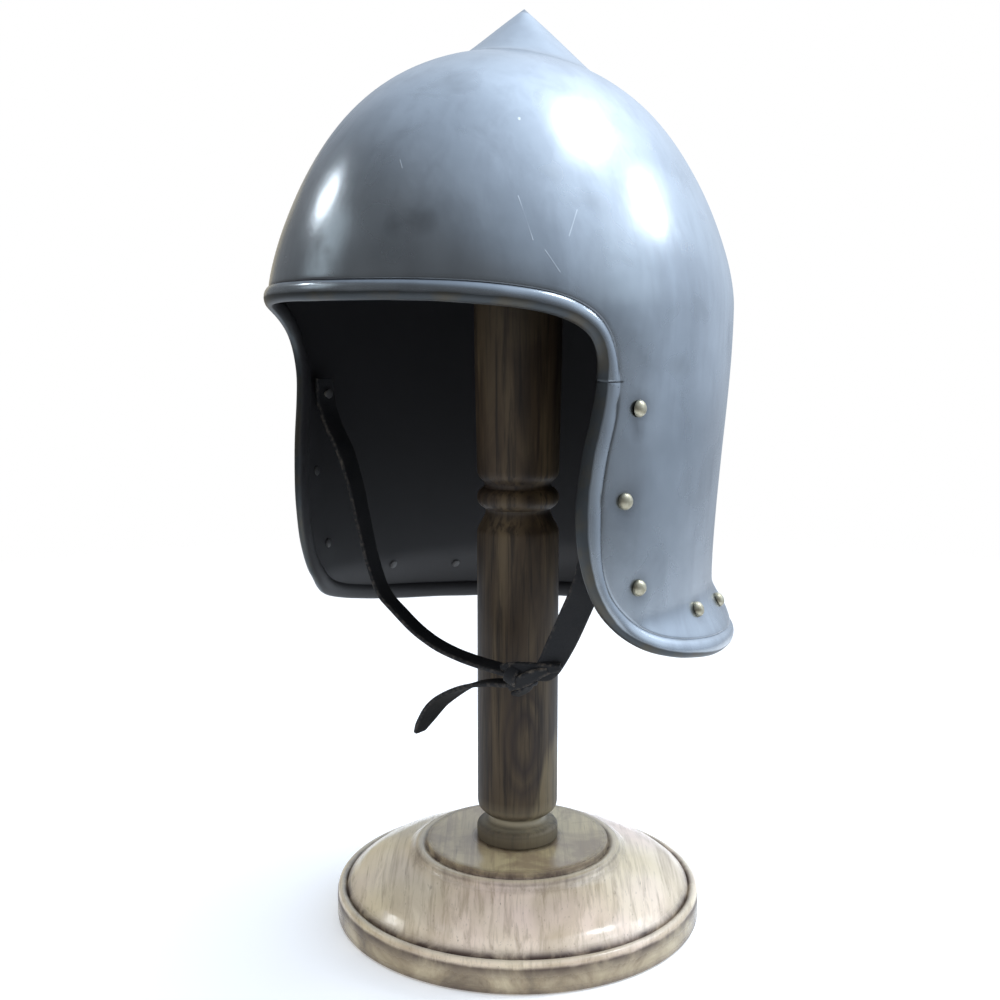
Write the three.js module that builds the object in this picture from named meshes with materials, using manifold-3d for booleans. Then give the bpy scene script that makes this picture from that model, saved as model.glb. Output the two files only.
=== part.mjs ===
// Open-faced knight helmet with a pointed crown, its tied chin straps and the turned wooden stand
// it is shown on. Millimetres, +Z up. The origin is the centre of the base's underside, on the post's
// axis. The helmet faces -Y, and the wearer's left is +X.
import * as THREE from 'three';
import { mergeVertices } from 'three/addons/utils/BufferGeometryUtils.js';
import Module from 'manifold-3d';

const wasm = await Module();
wasm.setup();

const GAP = 0.3;

// Skull and skirt of the helmet
const HALF_WIDTH = 96.5;
const HALF_DEPTH = 124;
const DEPTH_SKEW = 9;
const MID_Y = -10.5;
const EQUATOR_Z = 293.5;
const DOME_HEIGHT = 113.5;
const DOME_LEAN = 0.27;
const CONE_HEIGHT = 22.5;
const CONE_RADIUS = 33;
const CONE_POWER = 1.2;
const CONE_RHO = 0.32;
const APEX_Y = 4;
const WAIST_Z = 166;
const WAIST = 10.5;
const FLARE_SIDE = 6;
const FLARE_BACK = 11;
const LOW_Z = 142;
const CHEEK_CURL = 3;
const CHEEK_PHI = THREE.MathUtils.degToRad(60);
const CHEEK_SPREAD = THREE.MathUtils.degToRad(14);
const SKIRT_STEP = 136.5;
const SHEET = 1.5;

// Edge of the sheet as angle from the front in degrees and height, from the brow to the nape
const EDGE = [
  [0, 299.5], [25, 299.2], [42, 297.5], [54, 294], [61.5, 287.5], [65.3, 278], [66.2, 265],
  [65, 250], [63, 234], [61.8, 216], [62.3, 198], [64.7, 182], [69.5, 168], [77.5, 156.5],
  [89, 149], [106, 143], [130, 138.5], [155, 136], [180, 135],
];
const BROW_END = 4.5;
const CHEEK_END = 12.3;

// Rolled rim
const RIM_ALONG = 4.2;
const RIM_WIDER = 1.7;
const RIM_THROUGH = 2.9;
const RIM_PROUD = 1.7;
const RIM_STEPS = 8;

// Mesh of the shell
const CONE_ROWS = 3;
const SKULL_ROWS = 11;
const SKIRT_ROWS = 11;
const BROW_COLUMNS = 8;
const BACK_COLUMNS = 13;

// Rivets, per side: angle from the front in degrees and height
const RIVETS = {
  strap: [74.5, 253],
  cheek: [71.5, 215.6],
  jaw: [76, 178.6],
  side: [100, 160.6],
  rear: [119.5, 156.5],
  nape: [148, 153],
};
const BACK_RIVET = [180, 151.5];
const RIVET_HEAD_R = 3.5;
const RIVET_HEAD_H = 3;
const SHANK_R = 1.6;
const TAIL_R = 2.2;
const TAIL_H = 1;
const RIVET_SIDES = 12;

// Chin straps, tied in front of the post: each goes through the knot and ends on the far side of it.
// Their paths are pairs of X and Z in the plane Y = STRAP_Y.
const STRAP_WIDTH = 12;
const STRAP_THICK = 2;
const STRAP_Y = -42.6;
const STRAP_STEPS = 26;
const STRAP_REACH = 6.7;
const KNOT_AT = [36, STRAP_Y, 132.5];
const KNOT_RADII = [9, 8, 6.5];
const RIGHT_STRAP_XZ = [
  [-85.3, 260.5], [-85, 250], [-80, 238], [-72, 225], [-65.4, 208], [-60, 188], [-55, 172.5],
  [-48.5, 159.5], [-38.5, 151.5], [-26, 143.5], [-12, 138], [5, 134.8], [26.5, 133],
];
const LEFT_STRAP_XZ = [
  [85.3, 260.5], [85, 250], [79.5, 238], [75.5, 223], [72, 203], [67.5, 179], [60.5, 162.5], [55.5, 150],
  [45.8, 137.4],
];
const LEFT_END_XZ = [
  [28.1, 127.9], [17, 126.2], [5, 123], [-5.5, 117.5], [-15.5, 110], [-23, 100.5], [-26.5, 95],
];
const RIGHT_END_XZ = [[35.6, 125.1], [33.8, 121.9], [30.6, 118.9]];

// Turned stand
const BASE_R = 89;
const PLATFORM_Z = 35.4;
const POST_R = 19.6;
const POST_TOP_Z = 366;
const HEAD_R = 33;
const HEAD_TOP_Z = 408.1;
const BOLT_R = 3;
const BOLT_LOW_Z = 14;
const BOLT_HIGH_Z = 66;
const DOWEL_R = 6;
const DOWEL_LOW_Z = 340;
const DOWEL_HIGH_Z = 386;
const TURNED_SIDES = 56;

const STEEL = { color: 0x8d949b, roughness: 0.32, metalness: 1 };
const RIVET_METAL = { color: 0xb3ad92, roughness: 0.35, metalness: 1 };
const LEATHER = { color: 0x232426, roughness: 0.6, metalness: 0 };
const BASE_WOOD = { color: 0xb8a488, roughness: 0.35, metalness: 0 };
const POST_WOOD = { color: 0x5f5242, roughness: 0.45, metalness: 0 };
const ZINC = { color: 0xa8abac, roughness: 0.4, metalness: 1 };

const helmet = new THREE.Group();

function addMesh(name, geometry, look) {
  const mesh = new THREE.Mesh(geometry, new THREE.MeshStandardMaterial(look));
  mesh.name = name;
  helmet.add(mesh);
  return mesh;
}

// ---------- booleans ----------

function toSolid(geometry) {
  const bare = geometry.index ? geometry.toNonIndexed() : geometry.clone();
  for (const name of Object.keys(bare.attributes)) {
    if (name !== 'position') bare.deleteAttribute(name);
  }
  const merged = mergeVertices(bare, 1e-4);
  return new wasm.Manifold(new wasm.Mesh({
    numProp: 3,
    vertProperties: new Float32Array(merged.attributes.position.array),
    triVerts: new Uint32Array(merged.index.array),
  }));
}

function toGeometry(solid) {
  const mesh = solid.getMesh();
  const geometry = new THREE.BufferGeometry();
  geometry.setAttribute('position', new THREE.BufferAttribute(new Float32Array(mesh.vertProperties), 3));
  geometry.setIndex(new THREE.BufferAttribute(new Uint32Array(mesh.triVerts), 1));
  return geometry;
}

// ---------- helmet surface ----------

function smooth(from, to, x) {
  const t = THREE.MathUtils.clamp((x - from) / (to - from), 0, 1);
  return t * t * (3 - 2 * t);
}

function oval(phi, grow) {
  const depth = HALF_DEPTH - DEPTH_SKEW * Math.cos(phi) + grow;
  return [(HALF_WIDTH + grow) * Math.sin(phi), MID_Y - depth * Math.cos(phi)];
}

// Rounds after which the half-depth in a point's direction has settled
const DEPTH_STEPS = 6;

// The skull above the equator: rho is 0 at the apex, CONE_RHO on the ring round the point, 1 at the equator
function skullPoint(phi, rho) {
  const ring = [CONE_RADIUS * Math.sin(phi), APEX_Y - CONE_RADIUS * Math.cos(phi)];
  const rim = oval(phi, 0);
  const inCone = rho < CONE_RHO;
  const t = inCone ? rho / CONE_RHO : (rho - CONE_RHO) / (1 - CONE_RHO);
  const from = inCone ? [0, APEX_Y] : ring;
  const to = inCone ? ring : rim;
  const x = from[0] + (to[0] - from[0]) * t;
  const y = from[1] + (to[1] - from[1]) * t;
  let depth = HALF_DEPTH;
  for (let i = 0; i < DEPTH_STEPS; i += 1) {
    depth = HALF_DEPTH - DEPTH_SKEW * Math.cos(Math.atan2(x / HALF_WIDTH, (MID_Y - y) / depth));
  }
  const r = Math.min(1, Math.hypot(x / HALF_WIDTH, (y - MID_Y) / depth));
  const dome = DOME_HEIGHT * Math.sqrt(1 - r * r) * (1 - DOME_LEAN * r ** 6);
  const inward = Math.max(0, 1 - Math.hypot(x, y - APEX_Y) / CONE_RADIUS);
  return new THREE.Vector3(x, y, EQUATOR_Z + dome + CONE_HEIGHT * inward ** CONE_POWER);
}

// The skirt below the equator: narrowed at the nape, flared at the hem, curled in at the cheeks' front edges
function skirtPoint(phi, z) {
  const away = Math.abs(Math.atan2(Math.sin(phi), Math.cos(phi)));
  const back = (0.5 - 0.5 * Math.cos(phi)) ** 1.5;
  const narrowed = WAIST * back * smooth(EQUATOR_Z, WAIST_Z, z);
  const flared = (FLARE_SIDE * (1 - back) + FLARE_BACK * back) * smooth(WAIST_Z, LOW_Z, z);
  const near = Math.exp(-(((away - CHEEK_PHI) / CHEEK_SPREAD) ** 2));
  const curled = CHEEK_CURL * near * smooth(EQUATOR_Z, EQUATOR_Z - 40, z);
  const [x, y] = oval(phi, flared - narrowed - curled);
  return new THREE.Vector3(x, y, z);
}

// One surface over both: level is 0 at the apex, 1 at the equator and grows down the skirt
function surfacePoint(phi, level) {
  if (level < 1) return skullPoint(phi, Math.sin((level * Math.PI) / 2));
  return skirtPoint(phi, EQUATOR_Z - (level - 1) * SKIRT_STEP);
}

function levelAt(z) {
  if (z <= EQUATOR_Z) return 1 + (EQUATOR_Z - z) / SKIRT_STEP;
  let low = 0;
  let high = Math.PI / 2;
  for (let i = 0; i < 40; i += 1) {
    const psi = (low + high) / 2;
    const rise = DOME_HEIGHT * Math.sin(psi) * (1 - DOME_LEAN * Math.cos(psi) ** 6);
    if (rise > z - EQUATOR_Z) high = psi;
    else low = psi;
  }
  return 1 - (low + high) / Math.PI;
}

// Point, outward normal and the two tangents of the surface
function surfaceFrame(phi, level) {
  const step = 1e-3;
  const point = surfacePoint(phi, level);
  const alongPhi = surfacePoint(phi + step, level).sub(surfacePoint(phi - step, level))
    .divideScalar(2 * step);
  const under = Math.max(0, level - step);
  const alongLevel = surfacePoint(phi, level + step).sub(surfacePoint(phi, under))
    .divideScalar(level + step - under);
  const normal = new THREE.Vector3().crossVectors(alongLevel, alongPhi).normalize();
  if (level < 0.01) normal.set(0, 0, 1);
  return { point, normal, alongPhi, alongLevel };
}

// ---------- outline of the sheet ----------

const outline = EDGE.map(([degrees, z]) => [THREE.MathUtils.degToRad(degrees), levelAt(z)]);

// Smooth curve through the outline points, mirrored past the front and the back centre lines
function outlineAt(t) {
  const last = outline.length - 1;
  const i = Math.min(last - 1, Math.floor(t));
  const f = t - i;
  const at = (k) => {
    if (k < 0) return [-outline[-k][0], outline[-k][1]];
    if (k > last) return [2 * Math.PI - outline[2 * last - k][0], outline[2 * last - k][1]];
    return outline[k];
  };
  const [a, b, c, d] = [at(i - 1), at(i), at(i + 1), at(i + 2)];
  return [0, 1].map((k) => 0.5 * (2 * b[k] + (c[k] - a[k]) * f
    + (2 * a[k] - 5 * b[k] + 4 * c[k] - d[k]) * f * f
    + (3 * b[k] - a[k] - 3 * c[k] + d[k]) * f ** 3));
}

// The edge's frame: its point on the surface, the outward normal and the direction out of the sheet
function edgeFrame(t) {
  const step = 0.02;
  const [phi, level] = outlineAt(t);
  const frame = surfaceFrame(phi, level);
  const last = outline.length - 1;
  const before = surfacePoint(...outlineAt(Math.max(0, t - step)));
  const after = surfacePoint(...outlineAt(Math.min(last, t + step)));
  const along = after.sub(before).normalize();
  if (t === 0 || t === last) along.set(Math.sign(along.x), 0, 0);
  const out = new THREE.Vector3().crossVectors(frame.normal, along).negate().normalize();
  return { phi, level, ...frame, out };
}

const RIM_CENTRE = RIM_PROUD - RIM_THROUGH;
const OUTER_ANGLE = Math.PI - Math.asin(-RIM_CENTRE / RIM_THROUGH);
const INNER_ANGLE = -Math.PI + Math.asin((SHEET + RIM_CENTRE) / RIM_THROUGH);

// How much wider each half of the roll is down the cheeks, where it is folded further back
function widening(t) {
  return RIM_WIDER * smooth(BROW_END + 0.3, BROW_END + 2.5, t) * smooth(CHEEK_END - 0.5, CHEEK_END - 3, t);
}

// A place round the roll's oval section, measured out of the sheet from its edge
function acrossRim(t, angle) {
  const wider = widening(t);
  return (RIM_ALONG + wider) * Math.cos(angle) - wider;
}

// The surface coordinates of the crease where the sheet meets the rolled rim
function creaseAt(t) {
  const edge = edgeFrame(t);
  const shift = edge.out.clone().multiplyScalar(acrossRim(t, OUTER_ANGLE));
  const pp = edge.alongPhi.dot(edge.alongPhi);
  const pl = edge.alongPhi.dot(edge.alongLevel);
  const ll = edge.alongLevel.dot(edge.alongLevel);
  const u = edge.alongPhi.dot(shift);
  const v = edge.alongLevel.dot(shift);
  const determinant = pp * ll - pl * pl;
  return [edge.phi + (ll * u - pl * v) / determinant, edge.level + (pp * v - pl * u) / determinant];
}

// ---------- shell mesh ----------

const FULL_COLUMNS = 2 * (BROW_COLUMNS + BACK_COLUMNS);
const HALF_COLUMNS = FULL_COLUMNS / 2;
const BACK_T = outline.length - 1;

// Surface coordinates of the lower end of each skull column on one side, front to back
function skullColumnEnd(j) {
  if (j <= BROW_COLUMNS) return creaseAt((BROW_END * j) / BROW_COLUMNS);
  const corner = creaseAt(BROW_END);
  const t = (j - BROW_COLUMNS) / BACK_COLUMNS;
  return [corner[0] + (Math.PI - corner[0]) * t, corner[1]];
}

// Surface coordinates of the skirt on one side, from the cheek's edge to the back,
// blended from its four sides
function skirtCoordinates(s, v) {
  const cheek = creaseAt(BROW_END + (CHEEK_END - BROW_END) * s);
  const hem = creaseAt(CHEEK_END + (BACK_T - CHEEK_END) * v);
  const topCorner = creaseAt(BROW_END);
  const hemCorner = creaseAt(CHEEK_END);
  const hemBack = creaseAt(BACK_T);
  const top = [topCorner[0] + (Math.PI - topCorner[0]) * v, topCorner[1]];
  const back = [Math.PI, topCorner[1] + (hemBack[1] - topCorner[1]) * s];
  return [0, 1].map((k) => {
    const topBack = k === 0 ? Math.PI : topCorner[1];
    return (1 - s) * top[k] + s * hem[k] + (1 - v) * cheek[k] + v * back[k]
      - (1 - s) * (1 - v) * topCorner[k] - (1 - s) * v * topBack
      - s * (1 - v) * hemCorner[k] - s * v * hemBack[k];
  });
}

function shellGeometry() {
  const coordinates = [];
  const put = (phi, level) => coordinates.push([phi, level]) - 1;
  const quads = [];
  const rows = CONE_ROWS + SKULL_ROWS;
  const coneLevel = (2 / Math.PI) * Math.asin(CONE_RHO);

  // skull, from the apex to the brow and to the top of the skirt
  const apex = put(0, 0);
  const skull = [];
  for (let i = 1; i <= rows; i += 1) {
    skull.push([]);
    for (let j = 0; j < FULL_COLUMNS; j += 1) {
      const half = j <= HALF_COLUMNS ? j : FULL_COLUMNS - j;
      const [phi, end] = skullColumnEnd(half);
      const level = i <= CONE_ROWS
        ? (coneLevel * i) / CONE_ROWS
        : coneLevel + ((end - coneLevel) * (i - CONE_ROWS)) / SKULL_ROWS;
      skull[i - 1].push(put(j <= HALF_COLUMNS ? phi : 2 * Math.PI - phi, level));
    }
  }
  const triangles = [];
  for (let j = 0; j < FULL_COLUMNS; j += 1) {
    const next = (j + 1) % FULL_COLUMNS;
    triangles.push([apex, skull[0][j], skull[0][next]]);
    for (let i = 1; i < rows; i += 1) {
      quads.push([skull[i - 1][j], skull[i][j], skull[i][next], skull[i - 1][next]]);
    }
  }

  // skirt, from the left cheek's edge round the back to the right one
  const skirt = [[]];
  for (let k = 0; k <= 2 * BACK_COLUMNS; k += 1) skirt[0].push(skull[rows - 1][BROW_COLUMNS + k]);
  for (let i = 1; i <= SKIRT_ROWS; i += 1) {
    skirt.push([]);
    for (let k = 0; k <= 2 * BACK_COLUMNS; k += 1) {
      const half = k <= BACK_COLUMNS ? k : 2 * BACK_COLUMNS - k;
      const [phi, level] = skirtCoordinates(i / SKIRT_ROWS, half / BACK_COLUMNS);
      skirt[i].push(put(k <= BACK_COLUMNS ? phi : 2 * Math.PI - phi, level));
    }
  }
  for (let i = 0; i < SKIRT_ROWS; i += 1) {
    for (let k = 0; k < 2 * BACK_COLUMNS; k += 1) {
      quads.push([skirt[i][k], skirt[i + 1][k], skirt[i + 1][k + 1], skirt[i][k + 1]]);
    }
  }

  // the rim's stations in order round the edge: its vertex on the sheet, its place on the outline, its side
  const stations = [];
  const station = (vertex, t, side) => stations.push({ vertex, t, side });
  for (let j = -BROW_COLUMNS; j <= BROW_COLUMNS; j += 1) {
    const column = (j + FULL_COLUMNS) % FULL_COLUMNS;
    station(skull[rows - 1][column], (BROW_END * Math.abs(j)) / BROW_COLUMNS, j < 0 ? -1 : 1);
  }
  const cheekT = (i) => BROW_END + ((CHEEK_END - BROW_END) * i) / SKIRT_ROWS;
  for (let i = 1; i <= SKIRT_ROWS; i += 1) station(skirt[i][0], cheekT(i), 1);
  for (let k = 1; k < 2 * BACK_COLUMNS; k += 1) {
    const half = k <= BACK_COLUMNS ? k : 2 * BACK_COLUMNS - k;
    const t = CHEEK_END + ((BACK_T - CHEEK_END) * half) / BACK_COLUMNS;
    station(skirt[SKIRT_ROWS][k], t, k <= BACK_COLUMNS ? 1 : -1);
  }
  for (let i = SKIRT_ROWS; i >= 1; i -= 1) station(skirt[i][2 * BACK_COLUMNS], cheekT(i), -1);

  // outer and inner surfaces
  const frames = coordinates.map(([phi, level]) => surfaceFrame(phi, level));
  const positions = frames.map((frame) => frame.point.clone());
  const count = positions.length;
  frames.forEach((frame) => positions.push(frame.point.clone().addScaledVector(frame.normal, -SHEET)));

  // rim rows between them
  const rimRows = [stations.map((s) => s.vertex)];
  const mirror = (vector, side) => new THREE.Vector3(vector.x * side, vector.y, vector.z);
  const rimPoint = (t, edge, angle) => edge.point.clone()
    .addScaledVector(edge.out, acrossRim(t, angle))
    .addScaledVector(edge.normal, RIM_CENTRE + RIM_THROUGH * Math.sin(angle));
  for (let r = 1; r < RIM_STEPS; r += 1) {
    const angle = OUTER_ANGLE + ((INNER_ANGLE - OUTER_ANGLE) * r) / RIM_STEPS;
    rimRows.push(stations.map(({ t, side }) => (
      positions.push(mirror(rimPoint(t, edgeFrame(t), angle), side)) - 1
    )));
  }
  rimRows.push(stations.map((s) => s.vertex + count));
  stations.forEach(({ vertex, t, side }) => {
    const edge = edgeFrame(t);
    positions[vertex] = mirror(rimPoint(t, edge, OUTER_ANGLE), side);
    positions[vertex + count] = mirror(rimPoint(t, edge, INNER_ANGLE), side);
  });

  const index = [];
  for (const [a, b, c] of triangles) {
    index.push(a, b, c);
    index.push(a + count, c + count, b + count);
  }
  for (const [a, b, c, d] of quads) {
    index.push(a, b, c, a, c, d);
    index.push(a + count, c + count, b + count, a + count, d + count, c + count);
  }
  for (let r = 0; r < RIM_STEPS; r += 1) {
    for (let s = 0; s < stations.length; s += 1) {
      const next = (s + 1) % stations.length;
      const [a, b, c, d] = [rimRows[r][s], rimRows[r + 1][s], rimRows[r + 1][next], rimRows[r][next]];
      index.push(a, b, c, a, c, d);
    }
  }
  const geometry = new THREE.BufferGeometry();
  const flat = positions.flatMap((p) => p.toArray());
  geometry.setAttribute('position', new THREE.Float32BufferAttribute(flat, 3));
  geometry.setIndex(index);
  return geometry;
}

// ---------- rivets ----------

const plainShell = new THREE.Mesh(shellGeometry(), new THREE.MeshBasicMaterial({ side: THREE.DoubleSide }));

// Furthest height of the sheet along a rivet's normal, under a ring of the given radius, seen from one side
function sheetHeight(frame, radius, direction) {
  const reach = 15;
  const across = new THREE.Vector3(0, 0, 1).cross(frame.normal).normalize();
  const up = frame.normal.clone().cross(across);
  let height = -reach;
  for (let k = 0; k < 13; k += 1) {
    const ring = k === 12 ? 0 : radius;
    const angle = (k * Math.PI) / 6;
    const origin = frame.point.clone()
      .addScaledVector(across, ring * Math.cos(angle))
      .addScaledVector(up, ring * Math.sin(angle))
      .addScaledVector(frame.normal, reach * direction);
    const ray = new THREE.Raycaster(origin, frame.normal.clone().multiplyScalar(-direction));
    const [hit] = ray.intersectObject(plainShell);
    height = Math.max(height, reach - hit.distance);
  }
  return height;
}

// A rivet's seat: point and normal on the sheet, with the heights its head and its tail must clear.
// The two rivets that hold the straps lie along X, because the straps swing about them.
function rivetFrame(at, side) {
  const frame = surfaceFrame(THREE.MathUtils.degToRad(at[0]), levelAt(at[1]));
  const flip = (vector) => new THREE.Vector3(vector.x * side, vector.y, vector.z);
  const axis = at === RIVETS.strap ? new THREE.Vector3(1, 0, 0) : frame.normal;
  const seat = { point: flip(frame.point), normal: flip(axis) };
  seat.outside = sheetHeight(seat, RIVET_HEAD_R, 1);
  seat.inside = sheetHeight(seat, TAIL_R, -1);
  return seat;
}

function alongNormal(geometry, frame) {
  const turn = new THREE.Quaternion().setFromUnitVectors(new THREE.Vector3(0, 0, 1), frame.normal);
  return geometry.applyQuaternion(turn).translate(...frame.point.toArray());
}

// A lathe turned about +Z, from a profile of [radius, height] pairs that starts and ends on the axis
function turned(profile, sides) {
  const outline = profile.map(([r, z]) => new THREE.Vector2(r, z));
  return new THREE.LatheGeometry(outline, sides).rotateX(Math.PI / 2);
}

// Domed head outside, shank through everything it holds, hammered tail inside
function rivetGeometry(frame, held) {
  const tailTop = -frame.inside - held - GAP;
  const foot = frame.outside + GAP;
  const head = [];
  for (let k = 0; k < 4; k += 1) {
    const angle = (k * Math.PI) / 8;
    head.push([RIVET_HEAD_R * Math.cos(angle), foot + RIVET_HEAD_H * Math.sin(angle)]);
  }
  const profile = [
    [0, tailTop - TAIL_H], [TAIL_R * 0.7, tailTop - TAIL_H], [TAIL_R, tailTop - TAIL_H * 0.4],
    [TAIL_R, tailTop],
    [SHANK_R, tailTop], [SHANK_R, foot], ...head, [0, foot + RIVET_HEAD_H],
  ];
  return alongNormal(turned(profile, RIVET_SIDES), frame);
}

function rivetHole(frame) {
  const depth = 12;
  const radius = SHANK_R + GAP;
  const drill = turned([[0, -depth], [radius, -depth], [radius, depth], [0, depth]], RIVET_SIDES);
  return alongNormal(drill, frame);
}

// ---------- straps ----------

function flatStrap(points, y, steps) {
  const path = new THREE.CatmullRomCurve3(points.map(([x, z]) => new THREE.Vector3(x, y, z)));
  const section = new THREE.Shape();
  section.moveTo(-STRAP_WIDTH / 2, -STRAP_THICK / 2);
  section.lineTo(STRAP_WIDTH / 2, -STRAP_THICK / 2);
  section.lineTo(STRAP_WIDTH / 2, STRAP_THICK / 2);
  section.lineTo(-STRAP_WIDTH / 2, STRAP_THICK / 2);
  return new THREE.ExtrudeGeometry(section, { steps, extrudePath: path });
}

// ---------- stand ----------

function arc(centre, radius, fromDegrees, toDegrees, count) {
  const points = [];
  for (let i = 0; i <= count; i += 1) {
    const angle = THREE.MathUtils.degToRad(fromDegrees + ((toDegrees - fromDegrees) * i) / count);
    points.push([centre[0] + radius * Math.cos(angle), centre[1] + radius * Math.sin(angle)]);
  }
  return points;
}

function throughPoints(points, count) {
  const curve = new THREE.SplineCurve(points.map(([r, z]) => new THREE.Vector2(r, z)));
  return curve.getPoints(count).map((p) => [p.x, p.y]);
}

function standBase() {
  const ogee = throughPoints([
    [84.2, 13.4], [82, 16.6], [76, 20.9], [67, 24.8], [59, 27.2], [54, 29], [51.2, 31.6],
  ], 14);
  const profile = [
    [0, 0], [BASE_R - 1.5, 0], [BASE_R, 1.5], [BASE_R, 11.8],
    ...arc([BASE_R - 2.2, 11.9], 2.2, 20, 150, 4),
    ...ogee, [50, 32.6], [45.6, 32.8], [44.6, 33.4], [44.6, PLATFORM_Z - 0.6], [44, PLATFORM_Z],
    [BOLT_R + GAP, PLATFORM_Z], [BOLT_R + GAP, BOLT_LOW_Z - GAP], [0, BOLT_LOW_Z - GAP],
  ];
  return turned(profile, TURNED_SIDES);
}

function standPost() {
  const foot = PLATFORM_Z + GAP;
  const profile = [
    [BOLT_R + GAP, foot], [POST_R - 0.5, foot], [POST_R + 0.3, foot + 0.8], [POST_R + 0.3, 41.6],
    [POST_R - 1.4, 43.5], [14.5, 44.4], [13, 45.4], [13, 47.2], [15.6, 48.2], [POST_R - 0.6, 51.6],
    [POST_R, 54], [POST_R, 188], [18.6, 191], [16, 195.5], [15.4, 198.2], [16.6, 200],
    ...arc([14.2, 204.9], 5.4, -50, 50, 6),
    [15.8, 210.6], [16.6, 212.4], [18.9, 215], [POST_R, 217.5], [20.8, 290], [20.8, POST_TOP_Z - 2],
    [18.8, POST_TOP_Z], [DOWEL_R + GAP, POST_TOP_Z], [DOWEL_R + GAP, DOWEL_LOW_Z - GAP],
    [0, DOWEL_LOW_Z - GAP],
    [0, BOLT_HIGH_Z + GAP], [BOLT_R + GAP, BOLT_HIGH_Z + GAP], [BOLT_R + GAP, foot],
  ];
  return turned(profile, TURNED_SIDES);
}

// Rounded block that carries the crown of the helmet
function standHead() {
  const foot = POST_TOP_Z + GAP;
  const crownRadius = 58;
  const crownAngle = THREE.MathUtils.radToDeg(Math.asin(29 / crownRadius));
  const profile = [
    [DOWEL_R + GAP, foot], [24, foot], [29, foot + 3], [HEAD_R - 0.6, foot + 10], [HEAD_R, foot + 17],
    [HEAD_R, HEAD_TOP_Z - 13.5], [HEAD_R - 1.3, HEAD_TOP_Z - 10.4],
    ...arc([0, HEAD_TOP_Z - crownRadius], crownRadius, 90 - crownAngle, 90, 6).slice(0, -1), [0, HEAD_TOP_Z],
    [0, DOWEL_HIGH_Z + GAP], [DOWEL_R + GAP, DOWEL_HIGH_Z + GAP], [DOWEL_R + GAP, foot],
  ];
  return turned(profile, TURNED_SIDES);
}

// Hanger bolt hidden between base and post, and the dowel between post and head
function pinGeometry(radius, low, high) {
  const bevel = radius * 0.3;
  return turned([
    [0, low], [radius - bevel, low], [radius, low + bevel], [radius, high - bevel],
    [radius - bevel, high], [0, high],
  ], 16);
}

// ---------- assembly ----------

const strapFrames = { left: rivetFrame(RIVETS.strap, 1), right: rivetFrame(RIVETS.strap, -1) };

let shell = toSolid(shellGeometry());
for (const [side, sign] of [['left', 1], ['right', -1]]) {
  for (const [place, at] of Object.entries(RIVETS)) {
    const frame = rivetFrame(at, sign);
    shell = shell.subtract(toSolid(rivetHole(frame)));
    addMesh(`rivet_${side}_${place}`, rivetGeometry(frame, place === 'strap' ? STRAP_REACH : 0), RIVET_METAL);
  }
}
const backFrame = rivetFrame(BACK_RIVET, 1);
shell = shell.subtract(toSolid(rivetHole(backFrame)));
addMesh('rivet_back', rivetGeometry(backFrame, 0), RIVET_METAL);
addMesh('helmet_shell', toGeometry(shell), STEEL);

for (const [side, points] of [['right', RIGHT_STRAP_XZ], ['left', LEFT_STRAP_XZ]]) {
  const band = toSolid(flatStrap(points, STRAP_Y, STRAP_STEPS));
  const strap = band.subtract(toSolid(rivetHole(strapFrames[side])));
  addMesh(`strap_${side}`, toGeometry(strap), LEATHER);
}
addMesh('strap_left_end', flatStrap(LEFT_END_XZ, STRAP_Y, 10), LEATHER);
addMesh('strap_right_end', flatStrap(RIGHT_END_XZ, STRAP_Y, 5), LEATHER);
const knot = new THREE.SphereGeometry(1, 16, 10).scale(...KNOT_RADII).translate(...KNOT_AT);
addMesh('strap_knot', knot, LEATHER);

addMesh('stand_base', standBase(), BASE_WOOD);
addMesh('stand_post', standPost(), POST_WOOD);
addMesh('stand_head', standHead(), POST_WOOD);
addMesh('stand_bolt', pinGeometry(BOLT_R, BOLT_LOW_Z, BOLT_HIGH_Z), ZINC);
addMesh('stand_dowel', pinGeometry(DOWEL_R, DOWEL_LOW_Z, DOWEL_HIGH_Z), BASE_WOOD);

export default helmet;
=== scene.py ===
import math

import bpy
import numpy as np
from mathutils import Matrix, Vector, noise


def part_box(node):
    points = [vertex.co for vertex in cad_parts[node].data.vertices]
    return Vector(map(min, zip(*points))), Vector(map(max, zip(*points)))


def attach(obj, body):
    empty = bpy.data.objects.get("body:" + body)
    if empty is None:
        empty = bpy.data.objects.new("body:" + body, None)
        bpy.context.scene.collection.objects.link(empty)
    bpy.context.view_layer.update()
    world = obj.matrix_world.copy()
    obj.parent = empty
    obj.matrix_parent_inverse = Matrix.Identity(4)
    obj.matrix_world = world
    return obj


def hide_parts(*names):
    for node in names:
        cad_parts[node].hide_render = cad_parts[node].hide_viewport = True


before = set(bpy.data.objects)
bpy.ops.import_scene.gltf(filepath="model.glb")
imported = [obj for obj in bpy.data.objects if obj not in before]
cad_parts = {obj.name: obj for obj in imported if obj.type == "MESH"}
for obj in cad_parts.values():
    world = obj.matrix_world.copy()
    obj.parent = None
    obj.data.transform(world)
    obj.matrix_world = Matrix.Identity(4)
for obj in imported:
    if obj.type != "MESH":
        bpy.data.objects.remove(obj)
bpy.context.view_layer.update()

MM = 0.001

rad = math.radians

# ---------- camera ----------

CAMERA_TURN = rad(37)
CAMERA_DOWN = 0.14
CAMERA_AT = (0.3536, -0.4836, 0.2877)
CAMERA_LENS = 45.54

camera = bpy.data.objects.new("camera", bpy.data.cameras.new("camera"))
camera.data.sensor_width = 36
camera.data.lens = CAMERA_LENS
camera.data.clip_start = 0.01
camera.location = CAMERA_AT
camera.rotation_euler = (math.pi / 2 - CAMERA_DOWN, 0, CAMERA_TURN)
bpy.context.scene.collection.objects.link(camera)
bpy.context.scene.camera = camera


# ---------- mesh helpers ----------


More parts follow.
